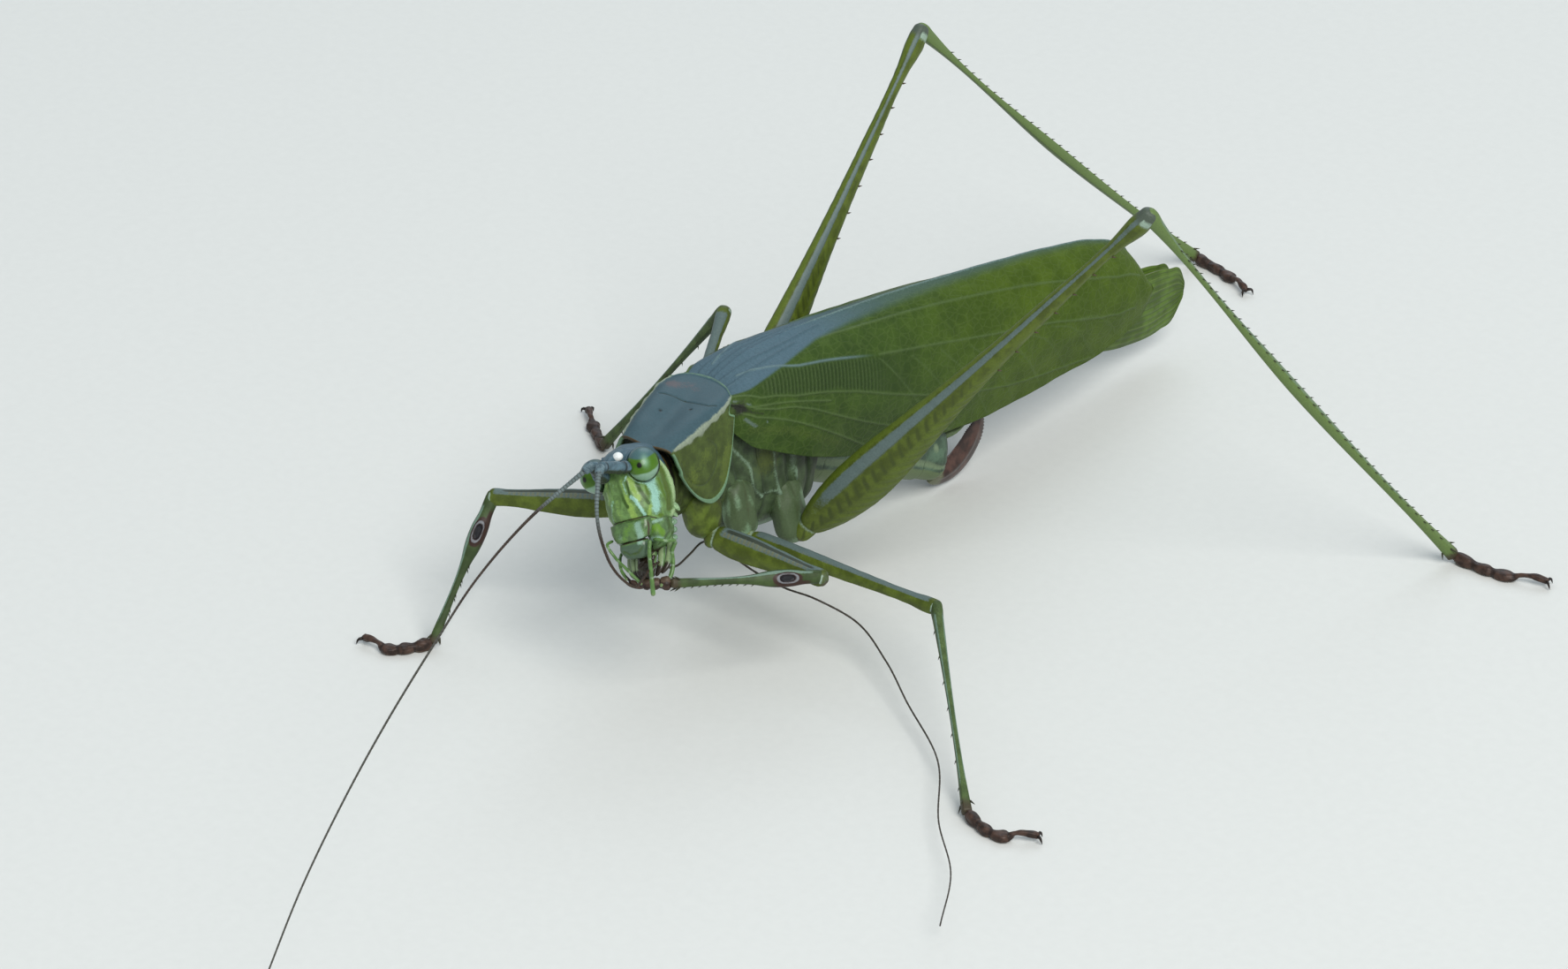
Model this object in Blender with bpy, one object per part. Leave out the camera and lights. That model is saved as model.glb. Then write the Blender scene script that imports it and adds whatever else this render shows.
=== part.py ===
"""Female fork-tailed bush katydid, life size, standing on five feet and cleaning an antenna.

The insect faces -Y, its left side is +X and the floor is Z = 0. Lengths are written in
millimetres and turned into metres as each mesh is made. Body parts are lofted in four
frames (body, prothorax, head and floor), and every leg is solved from its hip, its foot
and its two long segments.
"""
from math import copysign, cos, pi, radians, sin, sqrt

import bmesh
import bpy
from mathutils import Vector

MM = 0.001

# Driving dimensions
GAP = 0.3                      # clearance between neighbouring solids
PLATE = 0.5                    # thickness of the pronotum's shell and of the wings
FEELER = 0.27                  # radius of the antennae and palps
BACK_HEIGHT = 12.1             # the back above the floor, at the pronotum's hind margin
BODY_TILT = (-5.4, 3.5, 0)     # pitch and roll of the body, in degrees
PROTHORAX_TURN = (8.3, 0, 15)  # the prothorax on the body: lifted and turned to its left
HEAD_AT = (1.3, -5.0, 10.1)
HEAD_TURN = (-16.6, -25.7, 18.2)
SEGMENTS = {"fore": (6.3, 7.2), "mid": (10.7, 11.0), "hind": (24.5, 27.3)}  # femur, tibia
ANKLE_HEIGHT = 0.35
MIDDLE = (5.0, -4.1, 0)        # middle of the whole plan, feelers included: it becomes the origin


def start_clean():
    for thing in list(bpy.data.objects):
        bpy.data.objects.remove(thing)


# ---------------------------------------------------------------- frames and materials

def frame(name, parent=None, at=(0, 0, 0), turn=(0, 0, 0), order="XYZ"):
    """An empty that carries the parts drawn in its own axes."""
    axes = bpy.data.objects.new(name, None)
    axes.parent = parent
    axes.location = Vector(at) * MM
    axes.rotation_mode = order
    axes.rotation_euler = [radians(angle) for angle in turn]
    bpy.context.scene.collection.objects.link(axes)
    bpy.context.view_layer.update()
    return axes


def place(axes, point):
    """A point of a frame, in the floor's frame, in millimetres."""
    return (axes.matrix_world @ (Vector(point) * MM)) / MM


def material(name, colour, roughness):
    paint = bpy.data.materials.new(name)
    paint.use_nodes = True
    shader = paint.node_tree.nodes["Principled BSDF"]
    shader.inputs["Base Color"].default_value = (*colour, 1)
    shader.inputs["Roughness"].default_value = roughness
    shader.inputs["Metallic"].default_value = 0
    paint.diffuse_color = (*colour, 1)
    return paint


# ---------------------------------------------------------------- curves and lofts

def through(rows, steps):
    """Rows of numbers along a smooth curve through the given rows, some steps to each gap."""
    last = len(rows) - 1
    smooth = []
    for k in range(last):
        p0, p1, p2, p3 = (rows[max(k - 1, 0)], rows[k], rows[k + 1], rows[min(k + 2, last)])
        for step in range(steps):
            t = step / steps
            smooth.append(tuple(
                b + 0.5 * t * (c - a + t * (2 * a - 5 * b + 4 * c - d + t * (3 * (b - c) + d - a)))
                for a, b, c, d in zip(p0, p1, p2, p3)))
    smooth.append(tuple(rows[last]))
    return smooth


def loft(name, rings, paint, parent=None):
    """One closed body through rings of points in millimetres, with flat ends."""
    bm = bmesh.new()
    loops = [[bm.verts.new(Vector(point) * MM) for point in ring] for ring in rings]
    for near, far in zip(loops, loops[1:]):
        for k in range(len(near)):
            after = (k + 1) % len(near)
            bm.faces.new((near[k], near[after], far[after], far[k]))
    bm.faces.new(loops[0])
    bm.faces.new(loops[-1])
    bmesh.ops.recalc_face_normals(bm, faces=bm.faces)
    mesh = bpy.data.meshes.new(name)
    bm.to_mesh(mesh)
    bm.free()
    mesh.shade_smooth()
    mesh.set_sharp_from_angle(angle=radians(50))
    mesh.materials.append(paint)
    body = bpy.data.objects.new(name, mesh)
    body.parent = parent
    bpy.context.scene.collection.objects.link(body)
    return body


def carve(target, cutter):
    """Takes the cutter's shape out of the target."""
    cutter.hide_render = True
    cutter.display_type = "WIRE"
    cut = target.modifiers.new("carve " + cutter.name, "BOOLEAN")
    cut.operation = "DIFFERENCE"
    cut.object = cutter


def grown(rings, margin):
    """The same rings, larger all round by a margin, as a cutter."""
    wider = []
    for ring in rings:
        centre = sum((Vector(point) for point in ring), Vector()) / len(ring)
        wider.append([point + (point - centre).normalized() * margin for point in map(Vector, ring)])
    for end, inner in ((0, 1), (-1, -2)):
        centres = [sum(map(Vector, rings[k]), Vector()) / len(rings[k]) for k in (end, inner)]
        push = (centres[0] - centres[1]).normalized() * margin
        wider[end] = [point + push for point in wider[end]]
    return wider


def oval(y, across, top, bottom, shift=0.0, taper=0.0, power=2.2, count=18):
    """A rounded cross-section of the body; taper makes it narrower above than below."""
    ring = []
    for k in range(count):
        turn = 2 * pi * (k + 0.5) / count
        wide = copysign(abs(cos(turn)) ** (2 / power), cos(turn))
        high = copysign(abs(sin(turn)) ** (2 / power), sin(turn))
        x = shift + across * wide * (1 - taper * high)
        ring.append(Vector((x, y, (top + bottom) / 2 + (top - bottom) / 2 * high)))
    return ring


def sweep(path, sizes, up, count=8):
    """Oval rings along a path; sizes gives each ring's width and height, up its standing."""
    path = [Vector(point) for point in path]
    up = Vector(up)
    rings = []
    for k, (centre, (width, height)) in enumerate(zip(path, sizes)):
        along = (path[min(k + 1, len(path) - 1)] - path[max(k - 1, 0)]).normalized()
        side = along.cross(up).normalized()
        stand = side.cross(along)
        rings.append([centre + side * cos(2 * pi * (j + 0.5) / count) * width / 2
                      + stand * sin(2 * pi * (j + 0.5) / count) * height / 2
                      for j in range(count)])
    return rings


def limb(start, end, profile, up, count=10, belly=0.0):
    """Rings of a leg segment with rounded ends; profile rows are fraction, width, height.

    belly puts that share of the swelling on the segment's inner side, towards up.
    """
    start = Vector(start)
    axis = Vector(end) - start
    first, last = profile[0], profile[-1]
    dome = 0.35 * first[2] / axis.length, 0.35 * last[2] / axis.length
    rows = ([(first[0], first[1] * 0.55, first[2] * 0.55), (first[0] + dome[0], first[1], first[2])]
            + list(profile[1:-1])
            + [(last[0] - dome[1], last[1], last[2]), (last[0], last[1] * 0.55, last[2] * 0.55)])
    inner = (Vector(up) - axis * (Vector(up).dot(axis) / axis.length_squared)).normalized()
    path = [start + axis * row[0] + inner * (belly * (row[2] - last[2]) / 2) for row in rows]
    return sweep(path, [row[1:] for row in rows], up, count)


# ---------------------------------------------------------------- head

HEAD_ROWS = (  # height, half width, front and back of the head capsule
    (1.42, 0.40, -2.45, -1.30),
    (1.22, 0.85, -3.00, -0.70),
    (0.80, 1.12, -3.35, -0.30),
    (0.20, 1.24, -3.45, -0.10),
    (-0.50, 1.30, -3.50, -0.20),
    (-1.20, 1.30, -3.55, -0.60),
    (-1.75, 1.22, -3.50, -0.95),
    (-2.05, 1.10, -3.40, -1.10),
)
EYE_AT = (1.27, -2.62, 0.46)
EYE_HALF = (0.62, 0.78, 0.80)   # half its depth into the head, length and height
EYE_ROOM = 0.2                  # clearance of the eye in its socket
CAP = 0.35                      # share of a step between a ball's last ring and its pole
HORN_PATH = ((0, -2.6, 1.0), (0, -3.3, 1.05), (0, -3.75, 1.0), (0, -3.95, 0.95))
HORN_SIZES = ((0.9, 0.6), (0.75, 0.55), (0.45, 0.5), (0.3, 0.35))


def ball(centre, half, count=14, levels=8):
    """Rings of an ellipsoid, from bottom to top."""
    rings = []
    for level in range(levels):
        lift = pi * (level + CAP) / (levels - 1 + 2 * CAP) - pi / 2
        rings.append([Vector((centre[0] + half[0] * cos(lift) * cos(2 * pi * k / count),
                              centre[1] + half[1] * cos(lift) * sin(2 * pi * k / count),
                              centre[2] + half[2] * sin(lift))) for k in range(count)])
    return rings


def level_oval(height, half, front, back, shift=0.0, count=18):
    """A level section of the head: its front and back are places along Y."""
    flat = oval(0, half, front, back, shift=shift, power=2.4, count=count)
    return [Vector((point.x, point.z, height)) for point in flat]


def head_rings():
    return [level_oval(*row) for row in through(HEAD_ROWS, 2)]


def build_head(head, paints):
    rings = head_rings()
    capsule = loft("head", rings, paints["face"], head)
    horn = loft("fastigium", sweep(HORN_PATH, HORN_SIZES, (0, 0, 1)), paints["face"], head)
    horn.hide_render = True
    horn.display_type = "WIRE"
    join = capsule.modifiers.new("fastigium", "BOOLEAN")
    join.operation = "UNION"
    join.object = horn
    for side, sign in (("left", 1), ("right", -1)):
        centre = (sign * EYE_AT[0], EYE_AT[1], EYE_AT[2])
        socket = loft("eye_socket_" + side, ball(centre, [half + EYE_ROOM for half in EYE_HALF]),
                      paints["face"], head)
        carve(capsule, socket)
        loft("eye_" + side, ball(centre, EYE_HALF), paints["eye"], head)
    build_mouth(head, paints)


LIP_ROWS = (  # height, half width, front and back of the clypeus and labrum
    (-2.35, 0.95, -3.78, -3.26),
    (-2.65, 0.82, -3.82, -3.28),
    (-2.95, 0.60, -3.78, -3.25),
    (-3.20, 0.52, -3.72, -3.20),
    (-3.42, 0.30, -3.62, -3.12),
)
MANDIBLE_ROWS = (  # height, distance from the midline, front, back, half width
    (-2.40, 0.74, -3.00, -1.30, 0.42),
    (-2.75, 0.74, -3.00, -1.45, 0.44),
    (-3.10, 0.64, -2.85, -1.75, 0.36),
    (-3.38, 0.50, -2.65, -2.05, 0.22),
)
PALPS = {  # routes of the feeler-like mouth parts
    "maxillary_palp_left": ((1.60, -2.55, -3.05), (1.78, -3.10, -3.45), (1.80, -3.55, -3.95),
                            (1.60, -4.00, -4.45)),
    "labial_palp_left": ((1.02, -4.15, -2.95), (1.12, -4.60, -3.45), (1.10, -4.90, -4.20),
                         (0.98, -4.95, -5.00)),
    "maxillary_palp_right": ((-1.25, -4.05, -2.55), (-1.00, -4.35, -3.00), (-0.62, -4.45, -3.60),
                             (-0.30, -4.45, -4.05)),
    "labial_palp_right": ((-1.55, -2.55, -3.10), (-1.75, -3.00, -3.50), (-1.70, -3.35, -4.05)),
}


def build_mouth(head, paints):
    lip = [level_oval(height, half, front, back, 0, 16) for height, half, front, back in LIP_ROWS]
    loft("clypeus_labrum", lip, paints["face"], head)
    for side, sign in (("left", 1), ("right", -1)):
        jaw = [level_oval(height, half, front, back, sign * out, 12)
               for height, out, front, back, half in MANDIBLE_ROWS]
        loft("mandible_" + side, jaw, paints["face"], head)
    for name, route in PALPS.items():
        path = through(route, 3)
        thick = 2 * FEELER
        loft(name, sweep(path, [(thick, thick)] * len(path), (1, 0, 0), 6), paints["palp"], head)


# ---------------------------------------------------------------- antennae

SCAPES = {"left": ((0.68, -3.85, 0.68), (0.52, -5.20, 1.05)),
          "right": ((-0.42, -3.92, 0.48), (-0.12, -5.05, 1.20))}
SCAPE_PROFILE = ((0, 0.62, 0.62), (0.55, 0.66, 0.66), (0.72, 0.50, 0.50), (1, 0.50, 0.50))
LEFT_FLAGELLUM = (  # down past the face, through the mouth and out under the fore legs
    (0.52, -5.70, 0.85), (0.42, -6.20, 0.20), (0.22, -6.45, -0.60), (0.05, -6.50, -1.50),
    (-0.05, -6.35, -2.35), (-0.05, -6.15, -3.20), (0.05, -5.75, -3.90), (0.25, -5.10, -4.45),
    (0.40, -4.55, -4.25), (0.55, -3.80, -3.92), (0.62, -2.90, -3.85), (0.95, -1.90, -3.95),
    (1.40, -0.60, -4.00))
LEFT_TRAIL = (
    (4.2, -3.6, 5.2), (4.3, -2.0, 4.3), (4.8, -0.6, 3.5), (5.9, 0.8, 2.7), (7.6, 1.5, 2.0),
    (10.4, 0.6, 1.4), (12.9, -0.8, 1.0),
    (16.9, -3.2, 0.8), (20.4, -7.0, 0.8), (23.4, -9.6, 0.9), (26.0, -13.2, 1.1))
RIGHT_FLAGELLUM = (  # forward from the brow, sagging a little and swinging to the left
    (1.95, -9.95, 11.9), (1.5, -10.7, 11.6), (1.6, -12.5, 11.2), (1.9, -14.4, 10.8),
    (2.5, -17.0, 10.2), (4.1, -21.2, 9.4), (6.2, -26.1, 8.6), (8.9, -31.5, 7.9),
    (11.3, -35.8, 7.4), (14.1, -40.2, 7.0), (17.8, -45.7, 6.7), (20.6, -49.6, 6.6))
CUTS = {  # where each feeler is divided, as fractions of its length
    "left": {"base": 0.11, "bend": 0.24, "middle": 0.42, "outer": 0.64, "tip": 1},
    "right": {"base": 0.30, "middle": 0.64, "tip": 1}}
END_ROOM = 0.2                 # shortest step kept beside a cut


def length_along(path):
    run = [0.0]
    for a, b in zip(path, path[1:]):
        run.append(run[-1] + (Vector(b) - Vector(a)).length)
    return run


def build_flagellum(name, path, cuts, paint):
    """A feeler in lengths, each ending at its fraction of the whole, with a gap at each cut."""
    path = [Vector(point) for point in path]
    run = length_along(path)
    first = 0.0
    for label, cut in cuts.items():
        last = run[-1] * cut - GAP / 2
        piece = [at for at, here in zip(path, run) if first + END_ROOM < here < last - END_ROOM]
        piece.insert(0, point_at(path, run, first))
        piece.append(point_at(path, run, last))
        sizes = [(2 * FEELER, 2 * FEELER)] * len(piece)
        loft(name + "_" + label, sweep(piece, sizes, (1, 0.35, 0), 6), paint)
        first = last + GAP


def point_at(path, run, distance):
    for k in range(len(path) - 1):
        if run[k + 1] >= distance - 1e-6:
            part = (distance - run[k]) / (run[k + 1] - run[k])
            return path[k].lerp(path[k + 1], part)
    return path[-1]


def build_antennae(head, paints):
    for side, (root, tip) in SCAPES.items():
        rings = limb(root, tip, SCAPE_PROFILE, (0, 0, 1), 8)
        loft("scape_" + side, rings, paints["shade"], head)
    beside = [place(head, point) for point in LEFT_FLAGELLUM]
    route = through(beside + [Vector(point) for point in LEFT_TRAIL], 2)
    build_flagellum("antenna_left", route, CUTS["left"], paints["feeler"])
    build_flagellum("antenna_right", through(RIGHT_FLAGELLUM, 2), CUTS["right"], paints["feeler"])


# ---------------------------------------------------------------- thorax and abdomen

PRONOTUM_ROWS = (
    # along, midline height, keel out and height, side out and height, lobe foot out and
    # height, and how far the edges lag behind the midline
    (-5.80, -0.02, 1.20, -0.22, 1.60, -1.10, 1.78, -1.80, 0.60),
    (-5.00, 0.02, 1.24, -0.16, 1.76, -1.50, 2.05, -2.85, 0.45),
    (-4.00, 0.05, 1.32, -0.12, 1.92, -1.75, 2.32, -3.60, 0.22),
    (-3.00, 0.05, 1.41, -0.08, 2.05, -1.80, 2.42, -3.72, 0.00),
    (-2.20, 0.04, 1.50, -0.05, 2.08, -1.65, 2.38, -3.25, -0.10),
    (-1.50, 0.04, 1.60, -0.03, 2.05, -1.25, 2.28, -2.35, -0.30),
    (-0.80, 0.03, 1.66, -0.02, 1.98, -0.75, 2.08, -1.30, -0.55),
    (-0.10, 0.00, 1.62, -0.05, 1.85, -0.45, 1.92, -0.75, -0.85),
)


PROTHORAX_ROWS = (  # along, half width, top and bottom of the fleshy middle under the saddle
    (-4.90, 1.20, -0.95, -4.20), (-4.20, 1.38, -0.85, -4.90), (-3.20, 1.45, -0.85, -5.10),
    (-2.10, 1.40, -0.85, -4.90))
CORE_TAPER = 0.12
THORAX_ROWS = (     # along, half width, top and bottom
    (-0.35, 1.45, -1.10, -6.20), (0.80, 1.72, -0.90, -7.20), (2.80, 1.90, -0.60, -7.70),
    (5.00, 1.95, -0.60, -7.75), (6.50, 1.85, -1.10, -7.40))
TRUNK_TAPER = 0.18
ABDOMEN_ROWS = (    # along, shift to the left, half width, top and bottom
    (6.85, 0.00, 1.80, -1.80, -7.30), (9.50, 0.00, 1.95, -2.30, -8.20),
    (12.50, 0.10, 1.80, -3.40, -9.00), (14.40, 0.40, 1.45, -5.20, -9.50),
    (15.70, 0.80, 1.05, -6.60, -9.70), (16.40, 0.95, 0.50, -7.50, -9.40))
OVIPOSITOR_ROWS = (  # middle of the blade, breadth and thickness: a short sickle turned up
    (1.00, 16.20, -9.70, 1.00, 0.50), (1.05, 17.05, -9.62, 1.45, 0.52),
    (1.05, 18.00, -9.10, 1.70, 0.52), (1.00, 18.75, -8.20, 1.40, 0.50),
    (0.95, 19.05, -7.25, 0.70, 0.50))


def inward(outline, thickness):
    """The outline moved to its inner side, in the plane of the section."""
    inner = []
    for k, (x, z) in enumerate(outline):
        before = outline[max(k - 1, 0)]
        after = outline[min(k + 1, len(outline) - 1)]
        run = Vector((after[0] - before[0], after[1] - before[1])).normalized()
        inner.append((x + run.y * thickness, z - run.x * thickness))
    return inner


def build_pronotum(prothorax, paints):
    """A saddle of even thickness: a flat disc with a deep lobe down each side."""
    rings = []
    for y, mid, keel_x, keel_z, side_x, side_z, foot_x, foot_z, lag in through(PRONOTUM_ROWS, 2):
        half = through(((0, mid), (keel_x, keel_z), (side_x, side_z), (foot_x, foot_z)), 2)
        outer = [(-x, z) for x, z in reversed(half[1:])] + half
        inner = inward(outer, PLATE)
        ring = [Vector((x, y + lag * (x / foot_x) ** 2, z)) for x, z in outer + inner[::-1]]
        rings.append(ring)
    return loft("pronotum", rings, paints["shade"], prothorax)


def build_trunk(body, prothorax, head, paints):
    core = [oval(y, across, top, bottom, taper=CORE_TAPER)
            for y, across, top, bottom in through(PROTHORAX_ROWS, 2)]
    prothorax_core = loft("prothorax", core, paints["pleura"], prothorax)
    pronotum = build_pronotum(prothorax, paints)
    room_for_head = loft("head_clearance", grown(head_rings(), GAP), paints["face"], head)
    carve(prothorax_core, room_for_head)
    carve(pronotum, room_for_head)
    middle = [oval(y, across, top, bottom, taper=TRUNK_TAPER, power=2.5)
              for y, across, top, bottom in through(THORAX_ROWS, 2)]
    thorax = loft("thorax", middle, paints["pleura"], body)
    hind = [oval(y, across, top, bottom, shift)
            for y, shift, across, top, bottom in through(ABDOMEN_ROWS, 2)]
    loft("abdomen", hind, paints["abdomen"], body)
    blade_rows = through(OVIPOSITOR_ROWS, 2)
    blade = sweep([row[:3] for row in blade_rows], [row[3:] for row in blade_rows], (1, 0, 0), 8)
    room_for_tip = loft("abdomen_clearance", grown(hind, GAP), paints["abdomen"], body)
    carve(loft("ovipositor", blade, paints["brown"], body), room_for_tip)
    return prothorax_core, thorax


# ---------------------------------------------------------------- wings

TEGMEN_ROWS = (
    # along, ridge height, shoulder out and height, side out and height, lower edge out and height
    (0.80, 0.62, 1.75, -0.15, 2.20, -1.30, 2.30, -2.55),
    (4.50, 0.78, 1.40, 0.25, 2.55, -1.90, 2.75, -4.15),
    (8.50, 0.78, 0.95, 0.42, 2.72, -2.50, 2.65, -5.40),
    (13.4, 0.58, 0.75, 0.25, 2.70, -2.90, 2.45, -6.20),
    (18.0, 0.22, 0.65, -0.10, 2.45, -3.10, 2.15, -6.60),
    (23.5, -0.35, 0.58, -0.68, 2.05, -3.30, 1.80, -6.45),
    (27.3, -1.00, 0.58, -1.38, 1.78, -3.50, 1.62, -6.15),
    (29.2, -1.75, 0.62, -2.15, 1.62, -3.70, 1.52, -5.60),
    (30.3, -2.75, 0.75, -3.05, 1.48, -3.90, 1.42, -4.95),
)
HINDWING_ROWS = (  # along, upper and lower edge
    (8.0, -0.60, -1.25), (14.0, -0.95, -1.80), (18.0, -1.30, -3.80), (21.5, -1.75, -5.90),
    (27.0, -2.85, -6.80), (30.5, -3.80, -7.05), (33.2, -4.15, -6.70), (34.6, -4.85, -5.95),
)
RIDGE_X = 0.2


def build_wings(body, paints):
    """Each fore wing is a leathery sheet folded down the side; the hind wing lies inside it."""
    for side, sign in (("left", 1), ("right", -1)):
        rings = []
        for y, ridge, sh_x, sh_z, side_x, side_z, low_x, low_z in through(TEGMEN_ROWS, 2):
            outer = through(((RIDGE_X, ridge), (sh_x, sh_z), (side_x, side_z), (low_x, low_z)), 3)
            inner = [(max(x, RIDGE_X), z) for x, z in inward(outer, PLATE)]
            ring = outer + inner[::-1]
            rings.append([Vector((sign * x, y, z)) for x, z in ring])
        loft("tegmen_" + side, rings, paints["wing"], body)
        rings = []
        for y, top, bottom in HINDWING_ROWS:
            ring = oval(y, PLATE / 2, top, bottom, shift=RIDGE_X + PLATE / 2, power=3.5, count=8)
            rings.append([Vector((sign * p.x, p.y, p.z)) for p in ring])
        loft("hindwing_" + side, rings, paints["hindwing"], body)


# ---------------------------------------------------------------- legs

HIPS = {  # in the prothorax's frame for the fore legs and in the body's for the others
    "fore": (2.00, -3.25, -5.60), "mid": (2.40, 0.90, -7.05), "hind": (2.70, 4.20, -8.25)}
COXA_ROOTS = {"fore": (1.35, -3.50, -4.15), "mid": (1.55, 0.95, -5.40), "hind": (1.65, 4.30, -6.20)}
COXA_PROFILES = {
    "fore": ((0, 1.50, 1.95), (0.5, 1.50, 1.95), (1, 1.00, 1.20)),
    "mid": ((0, 1.35, 1.80), (0.5, 1.35, 1.80), (1, 0.85, 1.05)),
    "hind": ((0, 1.35, 1.80), (0.5, 1.25, 1.65), (1, 0.80, 0.95))}
FEMUR_STARTS = {"fore": 0.65, "mid": 0.60, "hind": 0.95}   # how far past the hip each femur begins
FEMUR_SHORT = 0.2       # how far before the knee the femur ends
TIBIA_START = 0.72      # how far past the knee the tibia begins
TIBIA_SHORT = 0.85      # how far before the ankle the tibia ends
COXA_ROOM = 0.2         # clearance of each coxa in the thorax
FEMUR_BELLY = 0.6       # share of the femur's swelling on the inner side of the leg
KNEE_TOWARDS = {  # the side on which each knee stands out from the line hip to foot
    "fore_left": (0.86, 0.50, -0.10), "fore_right": (-0.76, 0.04, 0.65),
    "mid_left": (0.35, 0.82, 0.46), "mid_right": (0.07, 0.64, 0.76),
    "hind_left": (0.26, -0.10, 0.96), "hind_right": (-0.15, 0.08, 0.99)}
FEET = {  # ankle, ball and claws on the floor
    "fore_right": ((-6.80, -11.00), (-7.95, -12.55), (-9.50, -12.80)),
    "mid_left": ((20.30, -5.05), (22.20, -5.35), (23.75, -4.20)),
    "mid_right": ((-13.70, 7.10), (-15.25, 8.10), (-16.85, 9.25)),
    "hind_left": ((22.30, 26.70), (24.50, 26.90), (26.90, 27.90)),
    "hind_right": ((-5.30, 41.15), (-3.30, 40.95), (-1.20, 40.20))}
RAISED_FOOT = ((0.85, -3.05, -4.55), (-0.05, -3.35, -4.45), (-1.15, -4.05, -4.20))  # head's frame
FEMUR_PROFILES = {  # fraction, width, height
    "fore": ((0, 0.65, 1.00), (0.2, 0.78, 1.30), (0.55, 0.72, 1.08), (0.85, 0.64, 0.78),
             (1, 0.62, 0.74)),
    "mid": ((0, 0.60, 0.75), (0.15, 0.66, 0.82), (0.5, 0.58, 0.68), (0.85, 0.55, 0.56),
            (1, 0.62, 0.68)),
    "hind": ((0, 0.75, 1.20), (0.05, 1.00, 2.05), (0.11, 1.20, 2.60), (0.2, 1.25, 2.65),
             (0.3, 1.12, 2.20), (0.42, 0.92, 1.58), (0.56, 0.74, 1.06), (0.72, 0.60, 0.74),
             (0.9, 0.56, 0.60), (0.965, 0.74, 0.92), (1, 0.66, 0.80))}
TIBIA_PROFILES = {
    "fore": ((0, 0.55, 0.60), (0.08, 0.56, 0.62), (0.16, 0.72, 0.88), (0.3, 0.70, 0.86),
             (0.4, 0.54, 0.58), (1, 0.52, 0.54)),
    "mid": ((0, 0.56, 0.62), (0.1, 0.54, 0.58), (1, 0.52, 0.54)),
    "hind": ((0, 0.56, 0.66), (0.05, 0.54, 0.62), (0.5, 0.52, 0.54), (1, 0.56, 0.60))}
TARSUS_ROWS = (  # fraction of its length, width, top and bottom above the sole
    (0.00, 0.46, 0.62, 0.10), (0.06, 0.58, 0.72, 0.00), (0.24, 0.62, 0.58, 0.00),
    (0.29, 0.54, 0.50, 0.00), (0.42, 0.66, 0.56, 0.00), (0.47, 0.58, 0.50, 0.00),
    (0.60, 0.86, 0.54, 0.00), (0.66, 0.60, 0.52, 0.00), (0.76, 0.52, 0.74, 0.22),
    (0.88, 0.52, 0.78, 0.26), (0.96, 0.64, 0.66, 0.10), (1.00, 0.50, 0.50, 0.00))


def solve_knee(hip, ankle, femur, tibia, towards):
    """The knee of a leg whose hip, ankle and two lengths are known."""
    line = ankle - hip
    reach = line.length
    along = (femur ** 2 - tibia ** 2 + reach ** 2) / (2 * reach)
    out = Vector(towards) - line * (Vector(towards).dot(line) / reach ** 2)
    return hip + line * (along / reach) + out.normalized() * sqrt(femur ** 2 - along ** 2)


def tarsus_rings(points, sole_up):
    """Four joints in a row with a flat sole, along ankle, ball and claws."""
    path = [Vector(point) for point in through(points, 8)]
    run = length_along(path)
    rings = []
    for part, width, top, bottom in TARSUS_ROWS:
        centre = point_at(path, run, part * run[-1])
        ahead = point_at(path, run, min(part + 0.05, 1) * run[-1])
        behind = point_at(path, run, max(part - 0.05, 0) * run[-1])
        along = (ahead - behind).normalized()
        side = along.cross(sole_up).normalized()
        up = side.cross(along)
        outline = ((0.5, 0), (0.5, 0.5), (0.25, 1), (-0.25, 1), (-0.5, 0.5), (-0.5, 0))
        rings.append([centre + side * out * width + up * (bottom + (top - bottom) * high)
                      for out, high in outline])
    return rings


def build_leg(pair, side, frames, paints):
    """Coxa, femur, tibia and tarsus of one leg; returns the coxa's cutter."""
    name = pair + "_" + side
    sign = 1 if side == "left" else -1
    carrier = frames["prothorax"] if pair == "fore" else frames["body"]
    hip_x, hip_y, hip_z = HIPS[pair]
    root_x, root_y, root_z = COXA_ROOTS[pair]
    hip = place(carrier, (sign * hip_x, hip_y, hip_z))
    root = place(carrier, (sign * root_x, root_y, root_z))
    if name in FEET:
        foot = [Vector((x, y, 0)) for x, y in FEET[name]]
        sole_up = Vector((0, 0, 1))
    else:
        foot = [place(frames["head"], point) for point in RAISED_FOOT]
        sole_up = (frames["head"].matrix_world.to_3x3() @ Vector((0, 0.3, -1))).normalized()
    ankle = foot[0] + sole_up * ANKLE_HEIGHT
    femur, tibia = SEGMENTS[pair]
    knee = solve_knee(hip, ankle, femur, tibia, KNEE_TOWARDS[name])
    bend = ((hip - knee).normalized() + (ankle - knee).normalized()).normalized()
    coxa_end = hip + (root - hip).normalized() * (GAP / 2)
    coxa = limb(root, coxa_end, COXA_PROFILES[pair], (0, 1, 0.1), 8)
    loft(name + "_coxa", coxa, paints["pleura"])
    thigh = knee - hip
    femur_start = hip + thigh.normalized() * FEMUR_STARTS[pair]
    femur_end = knee - thigh.normalized() * FEMUR_SHORT
    loft(name + "_femur", limb(femur_start, femur_end, FEMUR_PROFILES[pair], bend, belly=FEMUR_BELLY),
         paints["femur"])
    shin = ankle - knee
    tibia_start = knee + shin.normalized() * TIBIA_START
    tibia_end = ankle - shin.normalized() * TIBIA_SHORT
    loft(name + "_tibia", limb(tibia_start, tibia_end, TIBIA_PROFILES[pair], bend, 8),
         paints["tibia"])
    loft(name + "_tarsus", tarsus_rings(foot, sole_up), paints["brown"])
    return loft(name + "_coxa_clearance", grown(coxa, COXA_ROOM), paints["pleura"])


# ---------------------------------------------------------------- the whole insect

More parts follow.
